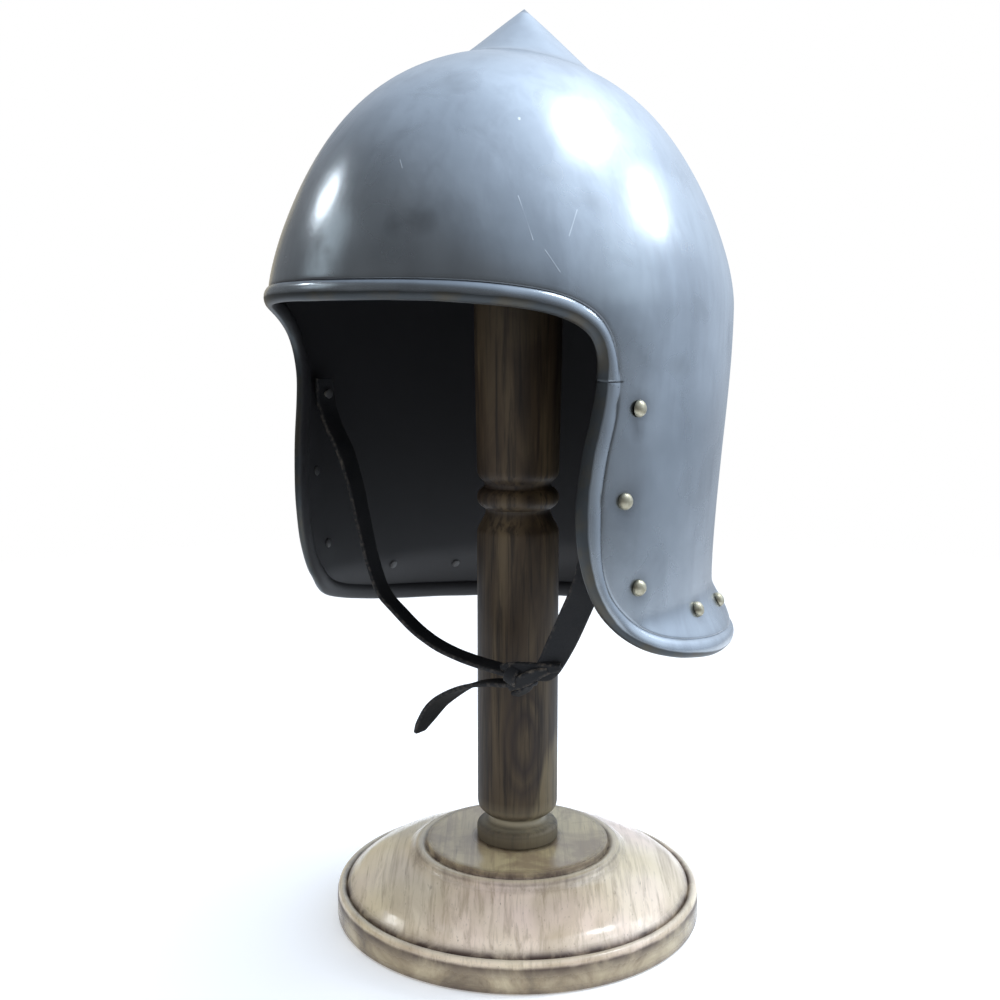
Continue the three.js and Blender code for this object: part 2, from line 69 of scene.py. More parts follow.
def new_piece(name, points, faces, smooth_angle=35.0):
    """An object from points in millimetres, smooth except where its faces meet at more than an angle."""
    mesh = bpy.data.meshes.new(name)
    mesh.from_pydata([tuple(p) for p in np.asarray(points, float) * MM], [], [tuple(f) for f in faces])
    mesh.validate()
    mesh.update()
    for polygon in mesh.polygons:
        polygon.use_smooth = True
    mesh.set_sharp_from_angle(angle=rad(smooth_angle))
    piece = bpy.data.objects.new(name, mesh)
    bpy.context.scene.collection.objects.link(piece)
    return piece


def strips(rows, closed=True):
    """Quads between rows of point numbers. A closed row ends where it starts."""
    faces = []
    for upper, lower in zip(rows, rows[1:]):
        if closed:
            upper, lower = upper + upper[:1], lower + lower[:1]
        faces += zip(upper, lower, lower[1:], upper[1:])
    return faces


def add_values(piece, name, values):
    """A number for each point of a piece, which its material reads."""
    attribute = piece.data.attributes.new(name, "FLOAT", "POINT")
    attribute.data.foreach_set("value", np.asarray(values, np.float32))


def smooth(low, high, x):
    t = np.clip((x - low) / (high - low), 0, 1)
    return t * t * (3 - 2 * t)


def bell(away, reach):
    """1 at no distance, falling smoothly to nearly 0 at twice the reach."""
    return np.exp(-((away / reach) ** 2))


def between(first, last, share):
    """The place a share of the way from first to last."""
    return first + (last - first) * share


def curve_at(a, b, c, d, t):
    """A place between b and c on the smooth curve through four points, for t from 0 to 1."""
    return 0.5 * (2 * b + (c - a) * t + (2 * a - 5 * b + 4 * c - d) * t**2 + (3 * b - a - 3 * c + d) * t**3)


def catmull(points, steps):
    """A smooth curve through the rows of an array, with the same number of points between each two."""
    p = np.asarray(points, float)
    p = np.vstack([2 * p[0] - p[1], p, 2 * p[-1] - p[-2]])
    out = []
    for i in range(1, len(p) - 2):
        out += [curve_at(*p[i - 1 : i + 3], k / steps) for k in range(steps)]
    out.append(p[-2])
    return np.array(out)


def ripple(point, size, seed):
    """Smooth noise between about -1 and 1, with waves of a size in millimetres."""
    return noise.noise(Vector(point) / size + Vector((seed * 7.3, seed * 3.1, seed * 1.7)))


# ---------- ribbons: straps and knot ----------


FLAT_END = 1.5
WEAR_FROM = 1.3
WEAR_TO = 0.1


def rounded_section(width, thickness, corner, steps=3):
    """Outline of a strap's section as (across, through) pairs, with points spread over its two flats."""
    section = []
    for cx, cy, start in ((1, 1, 0), (-1, 1, 90), (-1, -1, 180), (1, -1, 270)):
        for k in range(steps + 1):
            a = rad(start + 90 * k / steps)
            across = cx * (width / 2 - corner) + corner * math.cos(a)
            section.append((across, cy * (thickness / 2 - corner) + corner * math.sin(a)))
        if cx == cy:
            section += [(cx * f * (width / 2 - FLAT_END), cy * thickness / 2) for f in (1, 0.33, -0.33, -1)]
    return np.array(section)


def edge_wear(across, width):
    """How near a point of a section is to a cut edge, from 0 to 1."""
    return float(smooth(width / 2 - WEAR_FROM, width / 2 - WEAR_TO, abs(across)))


def band_faces(count, ring, closed=False):
    """Faces over rings of points, with a cap on each end unless the last ring joins the first."""
    rows = [list(range(i * ring, (i + 1) * ring)) for i in range(count)]
    caps = [] if closed else [rows[0][::-1], rows[-1]]
    if closed:
        rows.append(rows[0])
    return [face[::-1] for face in strips(rows)] + caps


def ribbon(stations, thickness, corner, steps, seed):
    """A leather band. A station is (x, y, z, twist in degrees, width); twist 0 lays the width along Y.
    Returns points, faces, and for each point how near it is to a cut edge."""
    path = catmull(stations, steps)
    points, edge = [], []
    for i, (x, y, z, twist, width) in enumerate(path):
        after, before = path[min(i + 1, len(path) - 1)], path[max(i - 1, 0)]
        along = (Vector(after[:3]) - Vector(before[:3])).normalized()
        flat = Vector((0, 1, 0))
        flat = (flat - along * flat.dot(along)).normalized()
        normal = along.cross(flat)
        c, s = math.cos(rad(twist)), math.sin(rad(twist))
        across, outward = flat * c + normal * s, normal * c - flat * s
        wave = 1 + 0.035 * ripple((x, y, z), 9, seed)
        cup = 0.35 * ripple((x, y, z), 24, seed + 2)
        for u, v in rounded_section(width * wave, thickness, corner):
            bend = cup * (1 - (2 * u / width) ** 2)
            points.append(tuple(Vector((x, y, z)) + across * u + outward * (v + bend)))
            edge.append(edge_wear(u, width))
    return points, band_faces(len(path), len(points) // len(path)), edge


def joined(parts):
    """Several (points, faces, values) as one."""
    points, faces, values = [], [], []
    for p, f, v in parts:
        start = len(points)
        points += list(p)
        values += list(v)
        faces += [tuple(start + i for i in face) for face in f]
    return points, faces, values


STRAP_Y = -42.6
STRAP_THICK = 2.0
RIGHT_STRAP_XZ = [
    (-85.3, 260.5), (-85, 250), (-80, 238), (-72, 225), (-65.4, 208), (-60, 188), (-55, 172.5),
    (-48.5, 159.5), (-38.5, 151.5), (-26, 143.5), (-12, 138), (5, 134.8), (26.5, 133),
]
RIGHT_END_XZ = [(37.4, 128.8), (35.4, 126.6), (32.8, 124.6), (29.6, 123.0)]
LEFT_STRAP_XZ = [
    (85.3, 260.5), (85, 250), (79.5, 238), (75.5, 223), (72, 203), (67.5, 179), (60.5, 162.5),
    (54, 149.5), (46.5, 137),
]
LEFT_END_XZ = [(28.1, 127.9), (17, 126.2), (5, 123), (-5.5, 117.5), (-15.5, 110), (-23, 100.5), (-26.5, 95)]
RIGHT_IN_KNOT_XZ = [(35.5, 132.2), (39.5, 129.8)]
LEFT_IN_KNOT_XZ = [(37.5, 131.8)]
# how each strap lies: (number of a point of its route, twist in degrees, width)
RIGHT_SHAPE = [
    (0, 0, 12), (3, -4, 12), (6, -14, 12), (9, -10, 12), (11, 0, 11), (12, 8, 9), (14, 0, 6),
    (16, 10, 7), (18, 24, 5),
]
LEFT_SHAPE = [
    (0, 0, 12), (2, 12, 12), (4, 44, 12), (6, 56, 12.4), (7, 58, 12.2), (8, 62, 10.5), (9, 20, 7),
    (10, -6, 7), (11, -4, 8), (12, 4, 9.5), (13, 12, 11.5), (14, 14, 12), (15, 8, 11), (16, 0, 8),
]


def route(points_xz):
    """A strap's centreline in metres, in the frame that the CAD shares."""
    smooth_line = catmull([(x, STRAP_Y, z) for x, z in points_xz], 6)
    return [tuple(p * MM) for p in smooth_line]


def strap_stations(points_xz, shape):
    """Ribbon stations along a strap, with its twist and width filled in between the ones given."""
    number, twist, width = zip(*shape)
    places = range(len(points_xz))
    twist = np.interp(places, number, twist)
    width = np.interp(places, number, width)
    return [(x, STRAP_Y, z, t, w) for (x, z), t, w in zip(points_xz, twist, width)]


def make_strap(name, points_xz, shape, replaced, seed):
    stations = strap_stations(points_xz, shape)
    points, faces, edge = ribbon(stations, STRAP_THICK, 0.7, 8, seed)
    strap = new_piece(name, points, faces, 50)
    add_values(strap, "edge", edge)
    centre = route(points_xz)
    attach(strap, "chin_strap")
    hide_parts(*replaced)
    return strap


right_route = RIGHT_STRAP_XZ + RIGHT_IN_KNOT_XZ + RIGHT_END_XZ
left_route = LEFT_STRAP_XZ + LEFT_IN_KNOT_XZ + LEFT_END_XZ
right_nodes = ["strap_right", "strap_right_end"]
left_nodes = ["strap_left", "strap_left_end"]
strap_right = make_strap("right_chin_strap", right_route, RIGHT_SHAPE, right_nodes, 1.0)
strap_left = make_strap("left_chin_strap", left_route, LEFT_SHAPE, left_nodes, 2.0)

# stations of the knot's two folded bands, as in ribbon
FOLD = [
    (24.0, -44.0, 134.8, 80, 3.4), (30, -45.0, 136.0, 88, 4.8), (37, -45.4, 136.9, 92, 5.4),
    (45, -45.2, 137.9, 94, 5.2), (51, -44.4, 139.0, 98, 4.4), (54.6, -43.2, 139.8, 100, 2.6),
]
FLAP = [
    (49.5, -45.4, 137.8, 84, 3.2), (45, -47.1, 136.0, 66, 5.0), (40, -47.8, 133.2, 60, 6.2),
    (34.5, -47.0, 130.0, 68, 5.6), (28.8, -45.2, 126.6, 84, 3.0),
]
TURN_CENTRE = Vector((31.5, -44.6, 132.8))
TURN_LEAN = rad(72)
TURN_R = 4.2
TURN_CORNERS = 10
TURN_WIDTH = 6.4
TURN_THICK = 1.9
KNOT_FRAYED = 2.4


def tight_turn(seed):
    """A closed turn of crumpled leather round an axis that lies in the XZ plane."""
    axis = Vector((math.sin(TURN_LEAN), 0, -math.cos(TURN_LEAN)))
    side = Vector((0, 1, 0)).cross(axis)
    corners = []
    for k in range(TURN_CORNERS + 1):
        a = 2 * math.pi * k / TURN_CORNERS
        corner = TURN_CENTRE + side * TURN_R * math.cos(a) + Vector((0, TURN_R * math.sin(a), 0))
        corners.append(tuple(corner))
    path = [Vector(p) for p in catmull(corners, 5)[:-1]]
    count = len(path)
    points, edge = [], []
    for i, p in enumerate(path):
        along = (path[(i + 1) % count] - path[i - 1]).normalized()
        outward = along.cross(axis).normalized()
        width = TURN_WIDTH * (1 + 0.12 * ripple(tuple(p), 6, seed))
        for u, v in rounded_section(width, TURN_THICK, 0.7):
            crumple = 0.5 * ripple(tuple(p + axis * u), 5, seed + 1)
            points.append(tuple(p + axis * u + outward * (v + crumple)))
            edge.append(edge_wear(u, width))
    return points, band_faces(count, len(points) // count, closed=True), edge


def make_knot():
    """The near strap folded over sideways, its flap, and one tight turn round the crossing."""
    parts = [ribbon(FOLD, 3.4, 1.0, 5, 3.0), ribbon(FLAP, 2.2, 0.7, 5, 4.0), tight_turn(5.0)]
    points, faces, edge = joined(parts)
    knot = new_piece("chin_strap_knot", points, faces, 50)
    add_values(knot, "edge", [KNOT_FRAYED * e for e in edge])
    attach(knot, "chin_strap")
    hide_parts("strap_knot")
    return knot


knot = make_knot()

# ---------- helmet surface ----------

HALF_WIDTH = 96.5
HALF_DEPTH = 124.0
DEPTH_SKEW = 9.0
MID_Y = -10.5
EQUATOR_Z = 293.5
DOME_HEIGHT = 113.5
DOME_LEAN = 0.27
CONE_HEIGHT = 22.5
CONE_RADIUS = 33.0
CONE_POWER = 1.2
CONE_RHO = 0.32
APEX_Y = 4.0
WAIST_Z = 166.0
WAIST = 10.5
FLARE_SIDE = 6.0
FLARE_BACK = 11.0
LOW_Z = 142.0
CHEEK_CURL = 3.0
CHEEK_PHI = rad(60)
CHEEK_SPREAD = rad(14)
SKIRT_STEP = 136.5
SHEET = 1.5
EDGE = [
    (0, 299.5), (25, 299.2), (42, 297.5), (54, 294), (61.5, 287.5), (65.3, 278), (66.2, 265),
    (65, 250), (63, 234), (61.8, 216), (62.3, 198), (64.7, 182), (69.5, 168), (77.5, 156.5),
    (89, 149), (106, 143), (130, 138.5), (155, 136), (180, 135),
]
BROW_END = 4.5
CHEEK_END = 12.3
RIM_ALONG = 4.2
RIM_WIDER = 1.7
RIM_THROUGH = 2.9
RIM_PROUD = 1.7


def oval(phi, grow):
    depth = HALF_DEPTH - DEPTH_SKEW * np.cos(phi) + grow
    return (HALF_WIDTH + grow) * np.sin(phi), MID_Y - depth * np.cos(phi)


def skull_points(phi, rho):
    ring = (CONE_RADIUS * np.sin(phi), APEX_Y - CONE_RADIUS * np.cos(phi))
    edge = oval(phi, 0)
    inner = rho < CONE_RHO
    t = np.where(inner, rho / CONE_RHO, (rho - CONE_RHO) / (1 - CONE_RHO))
    x = np.where(inner, ring[0] * t, between(ring[0], edge[0], t))
    y = np.where(inner, between(APEX_Y, ring[1], t), between(ring[1], edge[1], t))
    depth = HALF_DEPTH
    for _ in range(6):
        depth = HALF_DEPTH - DEPTH_SKEW * np.cos(np.arctan2(x / HALF_WIDTH, (MID_Y - y) / depth))
    r = np.minimum(1, np.hypot(x / HALF_WIDTH, (y - MID_Y) / depth))
    dome = DOME_HEIGHT * np.sqrt(1 - r * r) * (1 - DOME_LEAN * r**6)
    inward = np.maximum(0, 1 - np.hypot(x, y - APEX_Y) / CONE_RADIUS)
    return np.stack([x, y, EQUATOR_Z + dome + CONE_HEIGHT * inward**CONE_POWER], -1)


def skirt_points(phi, z):
    away = np.abs(np.arctan2(np.sin(phi), np.cos(phi)))
    back = (0.5 - 0.5 * np.cos(phi)) ** 1.5
    narrowed = WAIST * back * smooth(EQUATOR_Z, WAIST_Z, z)
    flared = (FLARE_SIDE * (1 - back) + FLARE_BACK * back) * smooth(WAIST_Z, LOW_Z, z)
    near = np.exp(-(((away - CHEEK_PHI) / CHEEK_SPREAD) ** 2))
    curled = CHEEK_CURL * near * smooth(EQUATOR_Z, EQUATOR_Z - 40, z)
    x, y = oval(phi, flared - narrowed - curled)
    return np.stack([x, y, z + 0 * x], -1)


def surface(phi, level):
    """Points of the sheet's outside. Level is 0 at the apex, 1 at the equator and grows down the skirt."""
    phi, level = np.broadcast_arrays(np.asarray(phi, float), np.asarray(level, float))
    rho = np.sin(np.minimum(level, 1) * math.pi / 2)
    above = skull_points(phi, rho)
    below = skirt_points(phi, EQUATOR_Z - (level - 1) * SKIRT_STEP)
    return np.where((level < 1)[..., None], above, below)


def level_at(z):
    if z <= EQUATOR_Z:
        return 1 + (EQUATOR_Z - z) / SKIRT_STEP
    low, high = 0.0, math.pi / 2
    for _ in range(40):
        psi = (low + high) / 2
        rise = DOME_HEIGHT * math.sin(psi) * (1 - DOME_LEAN * math.cos(psi) ** 6)
        low, high = (low, psi) if rise > z - EQUATOR_Z else (psi, high)
    return 1 - (low + high) / math.pi


def tangents(phi, level):
    step = 1e-3
    under = np.maximum(0, np.asarray(level, float) - step)
    along_phi = (surface(phi + step, level) - surface(phi - step, level)) / (2 * step)
    along_level = (surface(phi, level + step) - surface(phi, under)) / (level + step - under)[..., None]
    return along_phi, along_level


def normals(phi, level):
    along_phi, along_level = tangents(phi, level)
    n = np.cross(along_level, along_phi)
    n[np.asarray(level) < 0.01] = (0, 0, 1)
    return n / np.linalg.norm(n, axis=-1, keepdims=True)


outline = np.array([(rad(degrees), level_at(z)) for degrees, z in EDGE])
LAST = len(outline) - 1


def outline_at(t):
    """Surface coordinates of the sheet's edge, from 0 at the brow's middle to LAST at the nape's."""
    before_front = [(-outline[1][0], outline[1][1])]
    past_back = [(2 * math.pi - outline[-2][0], outline[-2][1])]
    p = np.vstack([before_front, outline, past_back])
    t = np.asarray(t, float)
    i = np.minimum(LAST - 1, np.floor(t)).astype(int)
    return curve_at(p[i], p[i + 1], p[i + 2], p[i + 3], (t - i)[..., None])


def edge_frame(t):
    """For places along the edge: surface coordinates, point, outward normal and the way out of the sheet."""
    t = np.asarray(t, float)
    coordinates = outline_at(t)
    phi, level = coordinates[..., 0], coordinates[..., 1]
    before = outline_at(np.maximum(0, t - 0.02))
    after = outline_at(np.minimum(LAST, t + 0.02))
    along = surface(after[..., 0], after[..., 1]) - surface(before[..., 0], before[..., 1])
    ends = (t == 0) | (t == LAST)
    along[ends, 1:] = 0
    n = normals(phi, level)
    out = -np.cross(n, along)
    out /= np.linalg.norm(out, axis=-1, keepdims=True)
    return coordinates, surface(phi, level), n, out


def dot(p, q):
    return (p * q).sum(-1)


def inset(t, distance):
    """Surface coordinates of places a distance back from the edge."""
    coordinates, _, _, out = edge_frame(t)
    phi, level = coordinates[..., 0], coordinates[..., 1]
    a, b = tangents(phi, level)
    shift = -out * np.asarray(distance, float)[..., None]
    pp, pl, ll, u, v = dot(a, a), dot(a, b), dot(b, b), dot(a, shift), dot(b, shift)
    determinant = pp * ll - pl * pl
    return np.stack([phi + (ll * u - pl * v) / determinant, level + (pp * v - pl * u) / determinant], -1)


# ---------- rivet places ----------

RIVETS = {
    "strap": (74.5, 253), "cheek": (71.5, 215.6), "jaw": (76, 178.6),
    "side": (100, 160.6), "rear": (119.5, 156.5), "nape": (148, 153),
}
BACK_RIVET = (180, 151.5)
RIVET_HEAD_R = 3.5
RIVET_HEAD_H = 3.1
DENT_DEPTH = 0.35
DENT_RADIUS = 6.0
THROUGH_STRAP = 8.3


def rivet_seat(place, side):
    phi, level = np.array(rad(place[0])), np.array(level_at(place[1]))
    flip = np.array([side, 1, 1])
    return surface(phi, level) * flip, normals(phi[None], level[None])[0] * flip


rivet_seats = {"rivet_back": rivet_seat(BACK_RIVET, 1)}
for side_name, side_sign in (("left", 1), ("right", -1)):
    for rivet_name, rivet_place in RIVETS.items():
        rivet_seats[f"rivet_{side_name}_{rivet_name}"] = rivet_seat(rivet_place, side_sign)

# ---------- shell ----------

CONE_ROWS = 9
SKULL_ROWS = 36
SKIRT_ROWS = 44
BROW_COLUMNS = 30
BACK_COLUMNS = 50
ROLL_ROWS = 18
SHEET_EDGE = 6.4
FOLD_PROUD_ANGLE = math.pi - math.asin((RIM_THROUGH - RIM_PROUD) / RIM_THROUGH)
INNER_ANGLE = -math.pi + math.asin((SHEET + RIM_PROUD - RIM_THROUGH) / RIM_THROUGH)
CREASE_SHIFT = 1.91
SEAM_T = 6.05
SEAM_STEP = 0.012
SEAM_HEALED = 0.42
# reach in millimetres of the painted shadow round each rivet
RIVET_SHADOW_REACH = 5.2


def hammered(points, n):
    """Long shallow waves of the hand-raised sheet, and the small dent round each rivet."""
    waves = np.array([0.28 * ripple(p, 55, 5.0) + 0.1 * ripple(p, 21, 6.0) for p in points])
    out = points + n * waves[:, None]
    for seat, _ in rivet_seats.values():
        away = np.linalg.norm(points - seat, axis=1)
        out -= n * (DENT_DEPTH * bell(away, DENT_RADIUS))[:, None]
    return out


def widening(t):
    """How much wider each half of the roll is down the cheeks, where it is folded further back."""
    return RIM_WIDER * smooth(BROW_END + 0.3, BROW_END + 2.5, t) * smooth(CHEEK_END - 0.5, CHEEK_END - 3, t)


def crease_inset(t, distance):
    """Surface coordinates of places back from the edge, where the distance is given for the plain rim."""
    return inset(t, distance + CREASE_SHIFT * widening(t))


def mirrored(places):
    """Surface coordinates of places on the other side of the helmet, last one first."""
    return [(2 * math.pi - phi, level) for phi, level in places[::-1]]


def skull_rows(ends):
    """Rows of the skull: evenly down the cone, then to the end of each column."""
    cone_level = 2 / math.pi * math.asin(CONE_RHO)
    rows = []
    for i in range(1, CONE_ROWS + 1):
        rows.append([(phi, cone_level * i / CONE_ROWS) for phi, _ in ends])
    for i in range(1, SKULL_ROWS + 1):
        rows.append([(phi, between(cone_level, end, i / SKULL_ROWS)) for phi, end in ends])
    return rows


def cheek_shares():
    """How far down the cheek each row of the skirt starts. Five rows stand close at the rim's seam."""
    seam_share = (SEAM_T - BROW_END) / (CHEEK_END - BROW_END)
    close = [seam_share + k * SEAM_STEP / 2.6 for k in (-2, -1, 0, 1, 2)]
    even = np.arange(1, SKIRT_ROWS + 1) / SKIRT_ROWS
    return sorted([s for s in even if min(abs(s - c) for c in close) > 0.006] + close)


def sheet_grid():
    """Surface coordinates of the sheet, its faces, and its border as (point, place along edge, side)."""
    brow = list(crease_inset(between(0, BROW_END, np.arange(BROW_COLUMNS + 1) / BROW_COLUMNS), SHEET_EDGE))
    back_share = np.arange(BACK_COLUMNS + 1)[:, None] / BACK_COLUMNS
    top = between(brow[-1], np.array([math.pi, brow[-1][1]]), back_share)
    ends = brow + list(top[1:])
    ends += mirrored(ends[1:-1])
    coordinates = [(0.0, 0.0)]

    def put(row):
        start = len(coordinates)
        coordinates.extend(row)
        return list(range(start, len(coordinates)))

    skull = [put(row) for row in skull_rows(ends)]
    faces = [(0, a, b) for a, b in zip(skull[0], skull[0][1:] + skull[0][:1])]
    faces += strips(skull)

    # the skirt is blended between the skull, the cheek's edge, the hem and the back
    shares = cheek_shares()
    cheek_t = between(BROW_END, CHEEK_END, np.array([0.0] + shares))
    hem_t = between(CHEEK_END, LAST, back_share[:, 0])
    cheek = crease_inset(cheek_t, SHEET_EDGE)
    hem = crease_inset(hem_t, SHEET_EDGE)
    skirt = [skull[-1][BROW_COLUMNS : BROW_COLUMNS + 2 * BACK_COLUMNS + 1]]
    for share, front in zip(shares, cheek[1:]):
        back = between(top[-1], hem[-1], share)
        corners = between(between(top[0], hem[0], share), back, back_share)
        half = list(between(top, hem, share) + between(front, back, back_share) - corners)
        skirt.append(put(half + mirrored(half[:-1])))
    faces += strips(skirt, closed=False)

    border = []
    for j in range(-BROW_COLUMNS, BROW_COLUMNS + 1):
        border.append((skull[-1][j], BROW_END * abs(j) / BROW_COLUMNS, -1 if j < 0 else 1))
    rows = range(1, len(skirt))
    border += [(skirt[i][0], cheek_t[i], 1) for i in rows]
    for k in range(1, 2 * BACK_COLUMNS):
        border.append((skirt[-1][k], hem_t[min(k, 2 * BACK_COLUMNS - k)], 1 if k <= BACK_COLUMNS else -1))
    border += [(skirt[i][-1], cheek_t[i], -1) for i in reversed(rows)]
    return np.array(coordinates), faces, border


def rim_rows(t, sides):
    """Rows of (points, inside, crease shade and seam) from the crease outside, over the roll, to the sheet
    inside.
    Each column has its place t along the edge, and a sides row that mirrors the left to its side.
    The crease beside the roll gets painted shade, and the weld seam on the left is dark."""
    _, edge_point, edge_normal, edge_out = edge_frame(t)
    left = sides[:, 0] > 0
    seam = left * bell(t - SEAM_T, SEAM_STEP * 0.8)
    open_fold = 1 - 0.9 * left * bell(t - SEAM_T, SEAM_HEALED)
    swell = np.array([1 + 0.05 * ripple(p * s, 16, 8.0) for p, s in zip(edge_point, sides)]) - 0.06 * seam
    swell = swell[:, None]
    wider = widening(t)[:, None]
    at_hem = smooth(CHEEK_END - 1, CHEEK_END + 1, t)
    # painted shade: the crease beside the roll is darkened, less down the cheeks and along the hem, and
    # little where the fold closes at the seam
    crease_shade = open_fold * (0.65 - 0.4 * smooth(BROW_END - 1, BROW_END + 2, t) - 0.15 * at_hem)
    rows = []

    def add_row(points, inside, crease_shade_and_seam):
        rows.append((points * sides, np.broadcast_to(inside, t.shape), np.broadcast_to(crease_shade_and_seam, t.shape)))

    def sheet_row(back, depth, inside, crease_shade_and_seam):
        phi, level = crease_inset(t, back).T
        n = normals(phi, level)
        on_sheet = hammered(surface(phi, level) * sides, n * sides) * sides
        add_row(on_sheet - n * np.broadcast_to(depth, t.shape)[:, None], inside, crease_shade_and_seam)

    sheet_row(5.0, 0.02, 0, np.maximum(0.12 * crease_shade, seam))
    sheet_row(4.35, 0.08, 0, np.maximum(0.5 * crease_shade, seam))
    sheet_row(3.95, 0.35 * open_fold, 0, np.maximum(crease_shade, seam))
    # the roll is made dull and painted dark on the side that looks out of the opening, as painted dark
    # reflection, and less so along the hem; its innermost part takes the black paint of the inside
    painted_dark_from = 98 - 10 * smooth(BROW_END - 0.5, BROW_END + 2, t) - 16 * at_hem
    for r in range(1, ROLL_ROWS):
        angle = between(FOLD_PROUD_ANGLE, INNER_ANGLE, r / ROLL_ROWS)
        degrees = math.degrees(angle)
        shade = 0.5 * smooth(painted_dark_from, painted_dark_from - 34, degrees) + 0.5 * float(smooth(0, -50, degrees))
        out = (RIM_ALONG + wider) * math.cos(angle) * swell - wider
        up = RIM_PROUD - RIM_THROUGH + RIM_THROUGH * math.sin(angle) * swell
        crease_shade_and_seam = np.maximum(0.5 * crease_shade if r == 1 else 0, seam)
        add_row(edge_point + edge_out * out + edge_normal * up, shade, crease_shade_and_seam)
    sheet_row(4.3, SHEET, 1, 0)
    return rows


def make_shell():
    coordinates, faces, border = sheet_grid()
    phi, level = coordinates.T
    n = normals(phi, level)
    outer = hammered(surface(phi, level), n)
    count = len(outer)
    points = list(outer) + list(outer - n * SHEET)
    inside = [0.0] * count + [1.0] * count
    crease_shade_and_seam = [0.0] * (2 * count)
    faces += [tuple(i + count for i in reversed(face)) for face in faces]

    numbers, t, side = zip(*border)
    sides = np.stack([side, np.ones(len(t)), np.ones(len(t))], -1)
    rows = [list(numbers)]
    for row_points, row_inside, row_crease_shade_and_seam in rim_rows(np.array(t), sides):
        rows.append(list(range(len(points), len(points) + len(t))))
        points.extend(row_points)
        inside.extend(row_inside)
        crease_shade_and_seam.extend(row_crease_shade_and_seam)
    rows.append([number + count for number in numbers])
    faces += strips(rows)

    shell = new_piece("steel_shell", points, faces, 38)
    add_values(shell, "inside", inside)
    add_values(shell, "crease_shade_and_seam", crease_shade_and_seam)
    # painted shadow: how strongly the steel is darkened round each rivet
    away = [np.linalg.norm(np.array(points) - seat, axis=1) for seat, _ in rivet_seats.values()]
    add_values(shell, "rivet_shadow", bell(np.min(away, axis=0), RIVET_SHADOW_REACH))
    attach(shell, "helmet")
    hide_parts("helmet_shell")
    return shell


shell = make_shell()

# ---------- rivets ----------


def lathe(profile, sides, wobble=0.0, seed=0.0):
    """Points and faces of a turned body, from (radius, height) pairs that start and end on the axis."""
    points = [(0, 0, profile[0][1])]
    for r, z in profile[1:-1]:
        for k in range(sides):
            a = 2 * math.pi * k / sides
            grow = 1 + wobble * ripple((3 * math.cos(a), 3 * math.sin(a), z), 3, seed)
            points.append((r * math.cos(a) * grow, r * math.sin(a) * grow, z))
    points.append((0, 0, profile[-1][1]))
    rows = [[0] * sides]
    rows += [list(range(first, first + sides)) for first in range(1, len(points) - 1, sides)]
    rows += [[len(points) - 1] * sides]
    # at the two tips a quad has one point twice, and becomes a triangle
    return points, [tuple(dict.fromkeys(face)) for face in strips(rows[::-1])]


def make_rivet(name, seat, n, seed):
    """Domed head, shank and hammered tail, seated in the dent of the sheet."""
    held = THROUGH_STRAP if name.endswith("_strap") else SHEET
    foot = -DENT_DEPTH + 0.1
    head = []
    for k in range(9):
        a = math.pi / 2 * k / 8
        r = RIVET_HEAD_R * math.cos(a) ** 0.85 if k < 8 else 0
        head.append((r, foot + 0.35 + (RIVET_HEAD_H - 0.35) * math.sin(a)))
    low = -held - 1.1
    profile = [
        (0, low), (1.5, low), (2.1, low + 0.25), (2.25, low + 0.7), (1.9, -held), (1.6, -held),
        (1.6, foot), (RIVET_HEAD_R - 0.25, foot), (RIVET_HEAD_R, foot + 0.2),
    ] + head
    points, faces = lathe(profile, 28, 0.035, seed)
    towards = Vector(n)
    if name.endswith("_strap"):
        towards = Vector((math.copysign(1, n[0]), 0.12 * n[1], 0)).normalized()
    turned = Vector((0, 0, 1)).rotation_difference(towards)
    placed = [tuple(Vector(seat) + turned @ Vector(p)) for p in points]
    rivet = new_piece(name + "_worn", placed, faces, 40)
    add_values(rivet, "painted", [float(p[2] < -SHEET) for p in points])
    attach(rivet, "helmet")
    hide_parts(name)
    return rivet


rivets = [make_rivet(name, seat, n, 10.0 + i) for i, (name, (seat, n)) in enumerate(rivet_seats.items())]

# ---------- stand ----------


def arc(centre, radius, start, end, count):
    angles = [rad(between(start, end, i / count)) for i in range(count + 1)]
    return [(centre[0] + radius * math.cos(a), centre[1] + radius * math.sin(a)) for a in angles]


def through(points, steps):
    return [tuple(p) for p in catmull(points, steps)]


def densified(profile, longest):
    """The same profile with no straight stretch longer than a length."""
    out = [profile[0]]
    for a, b in zip(np.array(profile), np.array(profile[1:])):
        parts = max(1, math.ceil(math.dist(a, b) / longest))
        out += [tuple(between(a, b, k / parts)) for k in range(1, parts + 1)]
    return out


def reach_of(node):
    """Radius, lowest and highest place of a round CAD node that stands on the axis."""
    low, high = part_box(node)
    return high.x / MM, low.z / MM, high.z / MM


BASE_R, _, PLATFORM_Z = reach_of("stand_base")
_, _, POST_TOP_Z = reach_of("stand_post")
HEAD_R, _, HEAD_TOP_Z = reach_of("stand_head")
_, BOLT_LOW_Z, BOLT_HIGH_Z = reach_of("stand_bolt")
_, DOWEL_LOW_Z, DOWEL_HIGH_Z = reach_of("stand_dowel")
POST_R = 19.6
GAP = 0.3
BOLT_HOLE_R = 3.0 + GAP
DOWEL_HOLE_R = 6.0 + GAP
CROWN_R = 58.0
CROWN_EDGE_R = 29.0
TURNED_SIDES = 144


def marked(profile, marks):
    """How strongly marks of (radius, height, reach, strength) show at each point of a profile."""
    values = []
    for r, z in profile:
        shown = [strength * bell(math.hypot(r - mr, z - mz), reach) for mr, mz, reach, strength in marks]
        values.append(max(shown, default=0.0))
    return values


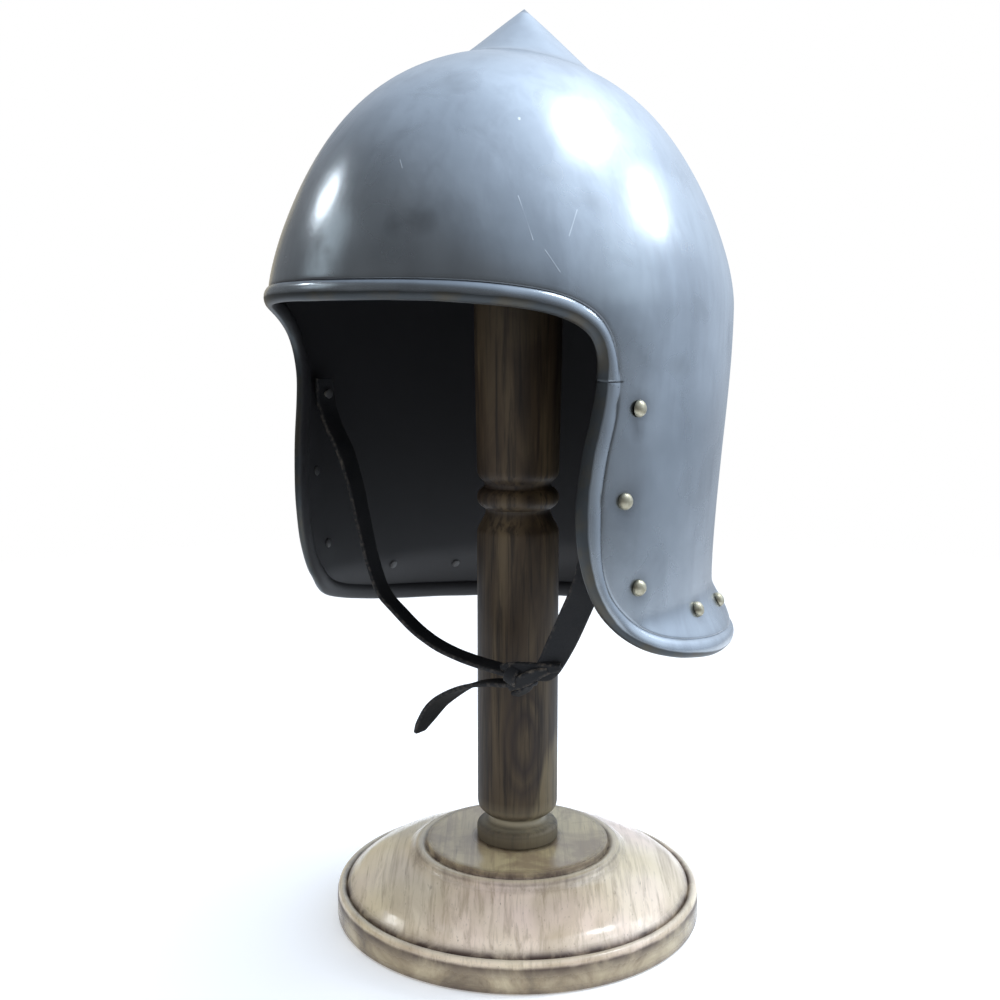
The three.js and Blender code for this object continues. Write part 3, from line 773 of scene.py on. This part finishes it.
def turned_piece(name, profile, smears_and_shade, pale, replaced):
    """A turned piece of the stand, with marks where the wood is darker, smeared in its grooves and painted
    with shade under the beads and at the joints, and marks where it is pale.
    """
    points, faces = lathe(profile, TURNED_SIDES)
    piece = new_piece(name, points, faces, 40)
    for key, marks in (("groove_smears_and_shade", smears_and_shade), ("pale", pale)):
        rows = marked(profile, marks)
        add_values(piece, key, [rows[0]] + [b for b in rows[1:-1] for _ in range(TURNED_SIDES)] + [rows[-1]])
    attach(piece, "stand")
    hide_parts(replaced)
    return piece


def make_base():
    ogee = [
        (84.0, 14.6), (83.2, 15.6), (80.6, 17.7), (76, 20.9), (67, 24.8), (59.5, 27.2), (55.2, 28.7),
        (52.2, 30.6), (50.6, 32.2),
    ]
    profile = (
        [(0, 0), (20, 0), (BASE_R - 1.5, 0)]
        + arc((BASE_R - 1.5, 1.5), 1.5, -80, 0, 4)
        + [(BASE_R, 6), (BASE_R - 0.1, 11.6), (BASE_R - 0.35, 12.1), (BASE_R - 0.4, 12.5)]
        + arc((BASE_R - 2.6, 12.5), 2.25, 10, 165, 8)
        + [(84.3, 12.9), (84.05, 13.6)]
        + through(ogee, 5)
        + [(50.2, 32.7), (49.4, 33.1), (47.6, 33.3), (46.2, 33.0), (45.4, 32.4), (44.9, 32.3), (44.7, 32.9)]
        + [(44.6, PLATFORM_Z - 0.7), (44.4, PLATFORM_Z - 0.2), (43.8, PLATFORM_Z), (20, PLATFORM_Z)]
        + [(BOLT_HOLE_R, PLATFORM_Z), (BOLT_HOLE_R, BOLT_LOW_Z - GAP), (0, BOLT_LOW_Z - GAP)]
    )
    # darker rings: smears in the grooves, and painted shade under the bead, at the platform's edge, where
    # the post stands and along the bottom edge
    smears_and_shade = [
        (83.8, 14.2, 2.6, 1.0), (BASE_R, 11.6, 1.1, 0.9), (BASE_R, 10.0, 2.2, 0.5), (45.2, 32.6, 1.6, 1.0),
        (44.6, PLATFORM_Z - 1, 1.5, 0.85), (BASE_R, 0.5, 2.2, 0.7), (POST_R + 0.5, PLATFORM_Z, 1.6, 0.8),
        (50.6, 32.2, 1.2, 0.6), (52, 30.8, 2.6, 0.35),
    ]
    pale = [(86.4, 14.7, 1.3, 1.0), (47.8, 33.3, 1.6, 0.9)]
    return turned_piece("turned_base", densified(profile, 3.0), smears_and_shade, pale, "stand_base")


def make_post():
    foot = PLATFORM_Z + GAP
    profile = (
        [(BOLT_HOLE_R, foot), (12, foot), (POST_R - 0.5, foot), (POST_R + 0.2, foot + 0.4)]
        + [(POST_R + 0.3, foot + 1), (POST_R + 0.3, 40.6)]
        + arc((POST_R - 1.9, 41.4), 2.2, 0, 75, 5)
        + through([(16.6, 43.9), (14.4, 44.5), (13.2, 45.4), (12.9, 46.5), (13.4, 47.4)], 3)
        + through([(15.6, 48.5), (18.2, 50.8), (19.2, 52.4), (POST_R, 54.5)], 3)
        + [(POST_R, 188)]
        + through([(19.4, 189.6), (18.3, 192), (16.4, 195.4), (15.5, 198), (15.7, 199.6)], 3)
        + arc((14.4, 204.9), 5.2, -58, 58, 12)
        + through([(16.0, 210.0), (15.9, 211.2), (16.8, 212.8), (18.7, 214.9), (19.5, 217)], 3)
        + through([(POST_R, 219), (20.2, 250), (20.8, 290), (20.8, POST_TOP_Z - 2)], 6)
        + [(20.2, POST_TOP_Z - 0.6), (18.8, POST_TOP_Z)]
        + [(DOWEL_HOLE_R, POST_TOP_Z), (DOWEL_HOLE_R, DOWEL_LOW_Z - GAP), (0, DOWEL_LOW_Z - GAP)]
    )
    profile = [(0, BOLT_HIGH_Z + GAP), (BOLT_HOLE_R, BOLT_HIGH_Z + GAP)] + densified(profile, 4.0)
    # darker rings: smears in the coves beside the bead, and painted shade where the post stands on the base
    smears_and_shade = [
        (15.5, 198.4, 2.5, 0.7), (16, 210.6, 1.6, 0.6), (POST_R, foot, 1.2, 0.8),
        (POST_R + 0.3, 41.2, 1.0, 0.35),
    ]
    pale = [
        (13.2, 46.4, 3.2, 1.0), (16.5, 43.9, 2.4, 0.6), (POST_R, 38.5, 4.5, 0.42), (POST_R, 52, 3, 0.25),
    ]
    return turned_piece("turned_post", profile, smears_and_shade, pale, "stand_post")


def make_head_block():
    foot = POST_TOP_Z + GAP
    crown_angle = math.degrees(math.asin(CROWN_EDGE_R / CROWN_R))
    crown = arc((0, HEAD_TOP_Z - CROWN_R), CROWN_R, 90 - crown_angle, 90, 12)
    side = [(24, foot), (28, foot + 2), (31.6, foot + 7), (HEAD_R, foot + 16), (HEAD_R, HEAD_TOP_Z - 13.5)]
    profile = (
        [(0, DOWEL_HIGH_Z + GAP), (DOWEL_HOLE_R, DOWEL_HIGH_Z + GAP), (DOWEL_HOLE_R, foot), (24, foot)]
        + through(side, 4)
        + through([(HEAD_R - 0.7, HEAD_TOP_Z - 11.6), (HEAD_R - 2, HEAD_TOP_Z - 9.6)], 2)
        + crown[:-1]
        + [(0, HEAD_TOP_Z)]
    )
    # painted shade where the head block sits on the post
    return turned_piece("turned_head_block", profile, [(24, foot, 3, 0.5)], [], "stand_head")


base = make_base()
post = make_post()
head_block = make_head_block()


# ---------- material helpers ----------


class Nodes:
    """A material's or a world's nodes, and short ways to add to them."""

    def __init__(self, owner, shader="BSDF_PRINCIPLED"):
        owner.use_nodes = True
        self.owner = owner
        self.tree = owner.node_tree
        self.shader = next(n for n in self.tree.nodes if n.type == shader)
        self.coordinates = self.add("ShaderNodeTexCoord").outputs
        self.place = self.coordinates["Object"]

    def add(self, kind, **settings):
        node = self.tree.nodes.new(kind)
        for key, value in settings.items():
            setattr(node, key, value)
        return node

    def link(self, source, target):
        """Feeds a socket from another one, or sets it to a plain value."""
        if isinstance(source, bpy.types.NodeSocket):
            self.tree.links.new(source, target)
        elif target.type == "RGBA":
            target.default_value = (*source, 1)
        else:
            target.default_value = source

    def value(self, name):
        return self.add("ShaderNodeAttribute", attribute_name=name).outputs["Fac"]

    def stretched(self, scale, turned=(0, 0, 0)):
        """The piece's own coordinates, turned and then scaled: a small scale draws the pattern out."""
        node = self.add("ShaderNodeMapping", vector_type="TEXTURE")
        self.link([1 / s for s in scale], node.inputs["Scale"])
        self.link(turned, node.inputs["Rotation"])
        self.link(self.place, node.inputs["Vector"])
        return node.outputs["Vector"]

    def texture(self, kind, **inputs):
        node = self.add("ShaderNodeTex" + kind)
        for name, source in inputs.items():
            self.link(source, node.inputs[name])
        return node.outputs

    def noise(self, scale, detail=3.0, rough=0.5, place=None, distortion=0.0):
        place = place or self.place
        texture = self.texture(
            "Noise", Vector=place, Scale=scale, Detail=detail, Roughness=rough, Distortion=distortion
        )
        return texture["Fac"]

    def cells(self, scale):
        return self.texture("Voronoi", Vector=self.place, Scale=scale)["Distance"]

    def ramp(self, source, *stops):
        node = self.add("ShaderNodeValToRGB")
        ramp = node.color_ramp
        while len(ramp.elements) < len(stops):
            ramp.elements.new(0.5)
        for element, (position, colour) in zip(ramp.elements, stops):
            element.position = position
            element.color = (*colour, 1) if isinstance(colour, tuple) else (colour, colour, colour, 1)
        self.link(source, node.inputs["Fac"])
        return node.outputs["Color"]

    def rise(self, source, low, high, top=1.0):
        """0 where the source is under low, growing to top where it is over high."""
        return self.ramp(source, (low, 0.0), (high, top))

    def mix(self, factor, first, second):
        node = self.add("ShaderNodeMix", data_type="RGBA")
        sockets = [s for s in node.inputs if s.type == "RGBA"]
        self.link(factor, node.inputs["Factor"])
        self.link(first, sockets[0])
        self.link(second, sockets[1])
        return next(s for s in node.outputs if s.type == "RGBA")

    def vector(self, how, first, second=None):
        node = self.add("ShaderNodeVectorMath", operation=how)
        self.link(first, node.inputs[0])
        if second is not None:
            self.link(second, node.inputs["Scale" if how == "SCALE" else 1])
        return node.outputs["Value" if how in ("DOT_PRODUCT", "LENGTH", "DISTANCE") else "Vector"]

    def near_line(self, first, last, reach):
        """1 on a line between two places, falling to 0 at a reach, all in millimetres."""
        start = Vector(first) * MM
        way = Vector(last) * MM - start
        offset = self.vector("SUBTRACT", self.place, tuple(start))
        share = self.math("DIVIDE", self.vector("DOT_PRODUCT", offset, tuple(way)), way.length_squared, True)
        nearest = self.vector("SCALE", tuple(way), share)
        away = self.vector("LENGTH", self.vector("SUBTRACT", offset, nearest))
        return self.math("SUBTRACT", 1.0, self.math("DIVIDE", away, reach * MM, True))

    def math(self, how, first, second=0.0, clamp=False):
        node = self.add("ShaderNodeMath", operation=how, use_clamp=clamp)
        self.link(first, node.inputs[0])
        self.link(second, node.inputs[1])
        return node.outputs["Value"]

    def times(self, source, amount, clamp=False):
        return self.math("MULTIPLY", source, amount, clamp)

    def plus(self, base, source, amount):
        """The base with an amount of the source added to it."""
        return self.math("ADD", base, self.times(source, amount))

    def centred(self, source):
        """A value between 0 and 1 moved to between -0.5 and 0.5."""
        return self.math("SUBTRACT", source, 0.5)

    def bumps(self, *layers):
        """Bumps laid over each other, each given as (height, strength, distance)."""
        normal = None
        for layer in layers:
            node = self.add("ShaderNodeBump")
            for name, source in zip(("Height", "Strength", "Distance"), layer):
                self.link(source, node.inputs[name])
            if normal is not None:
                self.link(normal, node.inputs["Normal"])
            normal = node.outputs["Normal"]
        return normal

    def set(self, **sockets):
        names = {
            "colour": "Base Color", "rough": "Roughness", "metal": "Metallic", "normal": "Normal",
            "specular": "Specular IOR Level",
        }
        for key, source in sockets.items():
            self.link(source, self.shader.inputs[names[key]])
        return self.owner


def new_material(name):
    return Nodes(bpy.data.materials.new(name))


def dress(material, *pieces):
    for piece in pieces:
        piece.data.materials.clear()
        piece.data.materials.append(material)


# ---------- materials ----------

STEEL_COLOUR = (0.395, 0.435, 0.475)
STEEL_DARK = (0.25, 0.28, 0.31)
# painted dark reflection on the roll's side that looks out of the opening, in a cool and a warm tint
ROLL_PAINTED_DARK = (0.060, 0.066, 0.070)
ROLL_PAINTED_DARK_WARM = (0.080, 0.074, 0.062)
BLACK_PAINT = (0.014, 0.014, 0.016)

# marks of use on the steel: first and last place in millimetres, reach, and how strongly they show
SMUDGES = (
    ((27.0, -114.1, 324.5), (35.7, -110.3, 325.5), 7.0, 0.55),
    ((-10.6, -119.9, 318.9), (-8.9, -123.0, 309.5), 6.0, 0.40),
    ((-4.0, -121.5, 315.0), (-1.2, -123.0, 310.8), 4.0, 0.35),
    ((90.8, -43.8, 248.1), (91.2, -42.5, 243.0), 5.0, 0.45),
    ((92.4, -44.4, 284.4), (93.2, -40.0, 270.0), 9.0, 0.25),
)
SCRATCHES = (
    ((62.1, -85.3, 335.1), (69.4, -85.7, 318.4), 0.35, 0.5),
    ((76.5, -66.4, 330.5), (77.2, -72.8, 320.3), 0.35, 0.4),
    ((72.9, -82.7, 314.7), (77.4, -79.2, 306.5), 0.35, 0.4),
    ((19.1, -104.2, 349.8), (21.3, -105.5, 346.5), 0.35, 0.5),
    ((51.7, -70.6, 366.7), (51.9, -70.9, 366.2), 0.8, 0.7),
)
CRACK = ((82.0, -63.0, 263.9), (89.2, -53.6, 261.9), 0.45)


def steel():
    m = new_material("raised_steel")
    cloud = m.noise(11, 4, 0.55)
    fine = m.noise(55, 5, 0.6)
    brushed = m.noise(90, 4, 0.6, m.stretched((1, 1, 0.16)), 0.4)
    smudge = m.rise(m.noise(24, 3, 0.6, distortion=0.6), 0.54, 0.74)
    plate = m.mix(m.rise(cloud, 0.36, 0.66), STEEL_COLOUR, STEEL_DARK)
    plate = m.mix(m.rise(brushed, 0.45, 0.72, 0.35), plate, (0.22, 0.24, 0.265))
    plate = m.mix(m.times(smudge, 0.4), plate, (0.19, 0.205, 0.225))
    for first, last, reach, dark in SMUDGES:
        worn = m.times(m.near_line(first, last, reach), m.ramp(fine, (0.36, 0.2), (0.6, 1.0)))
        plate = m.mix(m.times(worn, 1.4 * dark, True), plate, (0.12, 0.13, 0.14))
    lines = 0.0
    for first, last, reach, bright in SCRATCHES:
        lines = m.plus(lines, m.near_line(first, last, reach), bright)
    plate = m.mix(lines, plate, (0.75, 0.78, 0.80))
    # painted shadow round each rivet head
    plate = m.mix(m.times(m.value("rivet_shadow"), 0.75), plate, (0.09, 0.095, 0.10))
    # painted shade along the rim's crease, together with the dark weld seam and crack, mixed to one
    # near-black
    crack = m.rise(m.near_line(*CRACK), 0.35, 0.75)
    plate = m.mix(m.math("MAXIMUM", m.value("crease_shade_and_seam"), crack), plate, (0.018, 0.018, 0.02))
    # inside near 0.5 is the roll's painted dark reflection, made dull as well; near 1 is the black paint of
    # the inside
    ragged = m.plus(m.value("inside"), m.centred(fine), 0.25)
    dull_and_painted_dark = m.rise(ragged, 0.12, 0.34)
    painted = m.rise(ragged, 0.62, 0.86)
    colour = m.mix(dull_and_painted_dark, plate, m.mix(m.rise(fine, 0.45, 0.65), ROLL_PAINTED_DARK, ROLL_PAINTED_DARK_WARM))
    colour = m.mix(painted, colour, BLACK_PAINT)
    scratch_a = m.noise(260, 2, 0.5, m.stretched((1, 0.06, 0.25), (0.3, 0.5, 0.2)))
    scratch_b = m.noise(240, 2, 0.5, m.stretched((0.08, 1, 0.5), (0.1, 0.9, 1.2)))
    scratches = m.math("ADD", scratch_a, scratch_b)
    rough = m.plus(0.20, fine, 0.11)
    rough = m.plus(rough, smudge, 0.12)
    rough = m.mix(dull_and_painted_dark, rough, (0.42, 0.42, 0.42))
    rough = m.mix(painted, rough, (0.62, 0.62, 0.62))
    metal = m.math("SUBTRACT", 1.0, painted, True)
    normal = m.bumps(
        (scratches, 0.05, 0.0004), (fine, 0.12, 0.0006), (brushed, 0.10, 0.0006), (lines, 0.4, 0.0002)
    )
    return m.set(colour=colour, rough=rough, metal=metal, normal=normal)


def rivet_metal():
    m = new_material("rivet_nickel")
    tarnish = m.noise(420, 4, 0.6)
    colour = m.mix(m.rise(tarnish, 0.35, 0.7), (0.50, 0.47, 0.36), (0.30, 0.27, 0.19))
    colour = m.mix(m.value("painted"), colour, (0.045, 0.045, 0.046))
    rough = m.plus(0.34, tarnish, 0.2)
    metal = m.math("SUBTRACT", 1.0, m.value("painted"), True)
    return m.set(colour=colour, rough=rough, metal=metal, normal=m.bumps((tarnish, 0.25, 0.0002)))


def leather():
    m = new_material("strap_leather")
    grain = m.cells(900)
    pores = m.noise(1300, 3, 0.6)
    wear = m.noise(90, 4, 0.6)
    colour = m.mix(m.rise(wear, 0.40, 0.75), (0.006, 0.0065, 0.008), (0.012, 0.012, 0.013))
    frayed = m.rise(m.noise(500, 3, 0.6), 0.45, 0.70)
    colour = m.mix(m.times(m.times(m.value("edge"), frayed), 0.36), colour, (0.13, 0.11, 0.09))
    rough = m.plus(0.60, wear, 0.2)
    normal = m.bumps((grain, 0.35, 0.0002), (pores, 0.2, 0.0002), (wear, 0.15, 0.0006))
    return m.set(colour=colour, rough=rough, specular=0.3, normal=normal)


GRAIN_TURN = rad(37)


def base_wood():
    m = new_material("limed_wood")
    along = m.stretched((1, 0.11, 1), (0, 0, GRAIN_TURN))
    split = m.add("ShaderNodeSeparateXYZ")
    m.link(m.place, split.inputs["Vector"])
    height = split.outputs["Z"]
    figure = m.noise(46, 4, 0.55, along, 0.8)
    streaks = m.noise(360, 4, 0.66, m.stretched((1, 0.045, 0.3), (0, 0, GRAIN_TURN)), 0.5)
    pores = m.noise(900, 2, 0.5, m.stretched((1, 0.04, 1), (0, 0, GRAIN_TURN)))
    patches = m.noise(13, 3, 0.5)
    tint = m.ramp(patches, (0.34, (0.66, 0.55, 0.35)), (0.5, (0.76, 0.64, 0.47)), (0.66, (0.80, 0.64, 0.53)))
    platform = m.rise(m.times(height, 1 / 0.04), 0.82, 0.845)
    blotch = m.noise(40, 4, 0.6, distortion=0.6)
    blotch = m.ramp(blotch, (0.40, (0.36, 0.27, 0.16)), (0.56, (0.62, 0.51, 0.29)))
    tint = m.mix(platform, tint, blotch)
    colour = m.mix(m.rise(figure, 0.44, 0.68, 0.75), tint, (0.46, 0.36, 0.24))
    colour = m.mix(m.rise(streaks, 0.48, 0.74, 0.7), colour, (0.30, 0.22, 0.145))
    colour = m.mix(m.rise(pores, 0.64, 0.78, 0.45), colour, (0.12, 0.085, 0.065))
    side = m.ramp(m.times(height, 1 / 0.02), (0.57, 1.0), (0.60, 0.0))
    mottle = m.noise(34, 5, 0.62, distortion=0.7)
    mottle = m.ramp(
        mottle, (0.38, (0.10, 0.07, 0.04)), (0.5, (0.24, 0.185, 0.11)), (0.66, (0.46, 0.385, 0.25))
    )
    colour = m.mix(m.times(side, 0.85), colour, mottle)
    colour = m.mix(m.times(m.value("pale"), 0.55), colour, (0.80, 0.70, 0.52))
    smear = m.ramp(m.noise(70, 4, 0.65, distortion=0.5), (0.30, 0.30), (0.58, 1.0))
    # darker rings: smears in the grooves, and painted shade under the beads and at the joints
    colour = m.mix(m.times(m.value("groove_smears_and_shade"), smear), colour, (0.055, 0.032, 0.026))
    rough = m.plus(0.13, streaks, 0.14)
    rough = m.plus(rough, m.value("groove_smears_and_shade"), 0.25)
    normal = m.bumps((pores, 0.10, 0.0003), (m.noise(42, 3, 0.5), 0.22, 0.0020))
    return m.set(colour=colour, rough=rough, normal=normal)


def post_wood():
    m = new_material("stained_wood")
    along = m.stretched((1, 1, 0.09))
    figure = m.noise(64, 4, 0.58, along, 1.0)
    streaks = m.noise(380, 4, 0.62, m.stretched((1, 1, 0.045)), 0.4)
    patches = m.noise(34, 3, 0.55, m.stretched((1, 1, 0.35)), 0.5)
    colour = m.ramp(
        figure, (0.36, (0.018, 0.012, 0.008)), (0.5, (0.042, 0.028, 0.016)), (0.66, (0.078, 0.056, 0.031))
    )
    colour = m.mix(m.rise(patches, 0.50, 0.68, 0.5), colour, (0.115, 0.084, 0.046))
    # a branch's dark ring that the grain arches over; and painted light: a pale band on one side of the
    # post, wider and paler lower down, where light reaches in under the helmet
    branch = m.vector("DISTANCE", m.stretched((1, 1, 0.40)), (0.0155, -0.0145, 0.088 * 0.40))
    warped = m.plus(branch, m.centred(m.noise(80, 3, 0.5, along)), 0.010)
    rings = ((0.22, 0.0), (0.42, 0.85), (0.56, 0.15), (0.66, 0.6), (0.80, 0.0))
    colour = m.mix(m.ramp(m.times(warped, 60.0), *rings), colour, (0.020, 0.013, 0.011))
    across = m.vector("DOT_PRODUCT", m.place, (0.80, 0.60, -0.30))
    painted_side_light = m.math("ADD", m.plus(across, m.centred(figure), 0.012), 0.02)
    painted_side_light = m.rise(m.times(painted_side_light, 25.0), 0.235, 0.30, 0.6)
    colour = m.mix(painted_side_light, colour, (0.19, 0.148, 0.08))
    colour = m.mix(m.rise(streaks, 0.48, 0.64, 0.8), colour, (0.012, 0.008, 0.006))
    colour = m.mix(m.times(m.value("pale"), 0.8), colour, (0.36, 0.32, 0.23))
    # darker rings: smears in the coves, and painted shade at the post's foot
    colour = m.mix(m.times(m.value("groove_smears_and_shade"), 0.75), colour, (0.014, 0.010, 0.008))
    rough = m.plus(0.44, streaks, 0.2)
    normal = m.bumps((streaks, 0.25, 0.0004), (figure, 0.15, 0.0008))
    return m.set(colour=colour, rough=rough, specular=0.3, normal=normal)


def zinc():
    m = new_material("zinc_plate")
    crystals = m.cells(500)
    colour = m.mix(crystals, (0.62, 0.63, 0.63), (0.45, 0.46, 0.47))
    rough = m.plus(0.3, crystals, 0.2)
    return m.set(colour=colour, rough=rough, metal=1.0, normal=m.bumps((crystals, 0.1, 0.0002)))


dress(steel(), shell)
dress(rivet_metal(), *rivets)
dress(leather(), strap_right, strap_left, knot)
dress(base_wood(), base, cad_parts["stand_dowel"])
dress(post_wood(), post, head_block)
dress(zinc(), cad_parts["stand_bolt"])

# ---------- floor, light ----------

FLOOR_R = 2.4
FLOOR_SIDES = 96


def make_floor():
    turns = [2 * math.pi * k / FLOOR_SIDES for k in range(FLOOR_SIDES)]
    ring = [(FLOOR_R * math.cos(a), FLOOR_R * math.sin(a), 0) for a in turns]
    mesh = bpy.data.meshes.new("floor")
    mesh.from_pydata(ring, [], [tuple(range(FLOOR_SIDES))])
    floor = bpy.data.objects.new("floor", mesh)
    bpy.context.scene.collection.objects.link(floor)
    floor.location.z = -0.0003
    m = new_material("pale_floor")
    m.set(colour=(0.92, 0.92, 0.92), rough=0.9)
    m.link((1, 1, 1), m.shader.inputs["Emission Color"])
    m.link(0.22, m.shader.inputs["Emission Strength"])
    fade = m.ramp(m.math("DIVIDE", m.vector("LENGTH", m.place), FLOOR_R), (0.10, 1.0), (0.46, 0.0))
    m.link(fade, m.shader.inputs["Alpha"])
    dress(m.owner, floor)


# The room is bright behind and above the helmet and dim in front of it. BRIGHT_WAY is the brightest
# direction, and ROOM gives (how far a direction turns that way, brightness, how blue from 0 to 1).
BRIGHT_WAY = (0.25, 0.56, 0.79)
ROOM = (
    (-1.0, 0.24, 0.0), (-0.25, 0.23, 0.1), (0.15, 0.29, 0.3), (0.25, 0.38, 0.6), (0.44, 0.72, 0.9),
    (0.52, 0.84, 1.0), (0.61, 1.02, 1.0), (0.72, 1.22, 1.0), (0.80, 1.45, 1.0), (0.88, 1.72, 1.0),
    (0.95, 2.1, 1.0), (1.0, 2.3, 1.0),
)
ROOM_STRENGTH = 2.5


def make_world():
    """The room as the steel mirrors it, and plain white where the camera sees past the object."""
    world = bpy.data.worlds.new("studio")
    bpy.context.scene.world = world
    room = Nodes(world, "BACKGROUND")
    way = room.vector("DOT_PRODUCT", room.coordinates["Generated"], BRIGHT_WAY)
    stops = []
    for turned, bright, blue in ROOM:
        level = bright / ROOM_STRENGTH
        stops.append(((turned + 1) / 2, (level * (1 - 0.12 * blue), level, level * (1 + 0.17 * blue))))
    light = room.ramp(room.math("ADD", room.times(way, 0.5), 0.5), *stops)
    room.link(light, room.shader.inputs["Color"])
    room.link(ROOM_STRENGTH, room.shader.inputs["Strength"])
    white = room.add("ShaderNodeBackground")
    room.link((1, 1, 1), white.inputs["Color"])
    mixed = room.add("ShaderNodeMixShader")
    room.link(room.add("ShaderNodeLightPath").outputs["Is Camera Ray"], mixed.inputs["Fac"])
    room.link(room.shader.outputs["Background"], mixed.inputs[1])
    room.link(white.outputs["Background"], mixed.inputs[2])
    room.link(mixed.outputs["Shader"], room.tree.nodes["World Output"].inputs["Surface"])


LIGHT_TARGET = Vector((0.03, -0.03, 0.3))


def panel(name, azimuth, elevation, distance, size, watts, colour, mirrored=True):
    """A soft rectangular light. Azimuth 0 is in front of the face, 90 on the wearer's left.
    One that is not mirrored lights the wood and the leather but doesn't show in the steel."""
    a, e = rad(azimuth), rad(elevation)
    way = Vector((math.sin(a) * math.cos(e), -math.cos(a) * math.cos(e), math.sin(e)))
    data = bpy.data.lights.new(name, "AREA")
    data.shape = "RECTANGLE"
    data.size, data.size_y = size
    data.energy = watts
    data.color = colour
    light = bpy.data.objects.new(name, data)
    light.location = LIGHT_TARGET + way * distance
    light.visible_glossy = mirrored
    light.visible_camera = False
    light.rotation_euler = (-way).to_track_quat("-Z", "Y").to_euler()
    bpy.context.scene.collection.objects.link(light)


make_floor()
make_world()
panel("window_high", 138, 54, 1.5, (0.24, 0.27), 7, (0.93, 0.97, 1.0))
panel("window_low", 143, 29, 1.5, (0.08, 0.19), 2.4, (0.93, 0.97, 1.0))
panel("window_glow", 116, 17, 2.2, (1.3, 1.1), 1.5, (0.88, 0.97, 1.0))
panel("lamp_left", -75, 31, 1.6, (0.10, 0.18), 1.8, (0.95, 0.98, 1.0))
panel("lamp_glow", -56, 23, 1.6, (0.45, 0.6), 0.8, (0.86, 0.96, 1.0))
panel("warm_wall", -120, 2, 2.2, (0.6, 1.0), 0.8, (1.0, 0.80, 0.42))
panel("fill_front", 15, 14, 1.8, (1.4, 1.0), 11, (1.0, 0.98, 0.95), mirrored=False)

bpy.context.scene.view_settings.view_transform = "Standard"
bpy.context.scene.view_settings.look = "None"
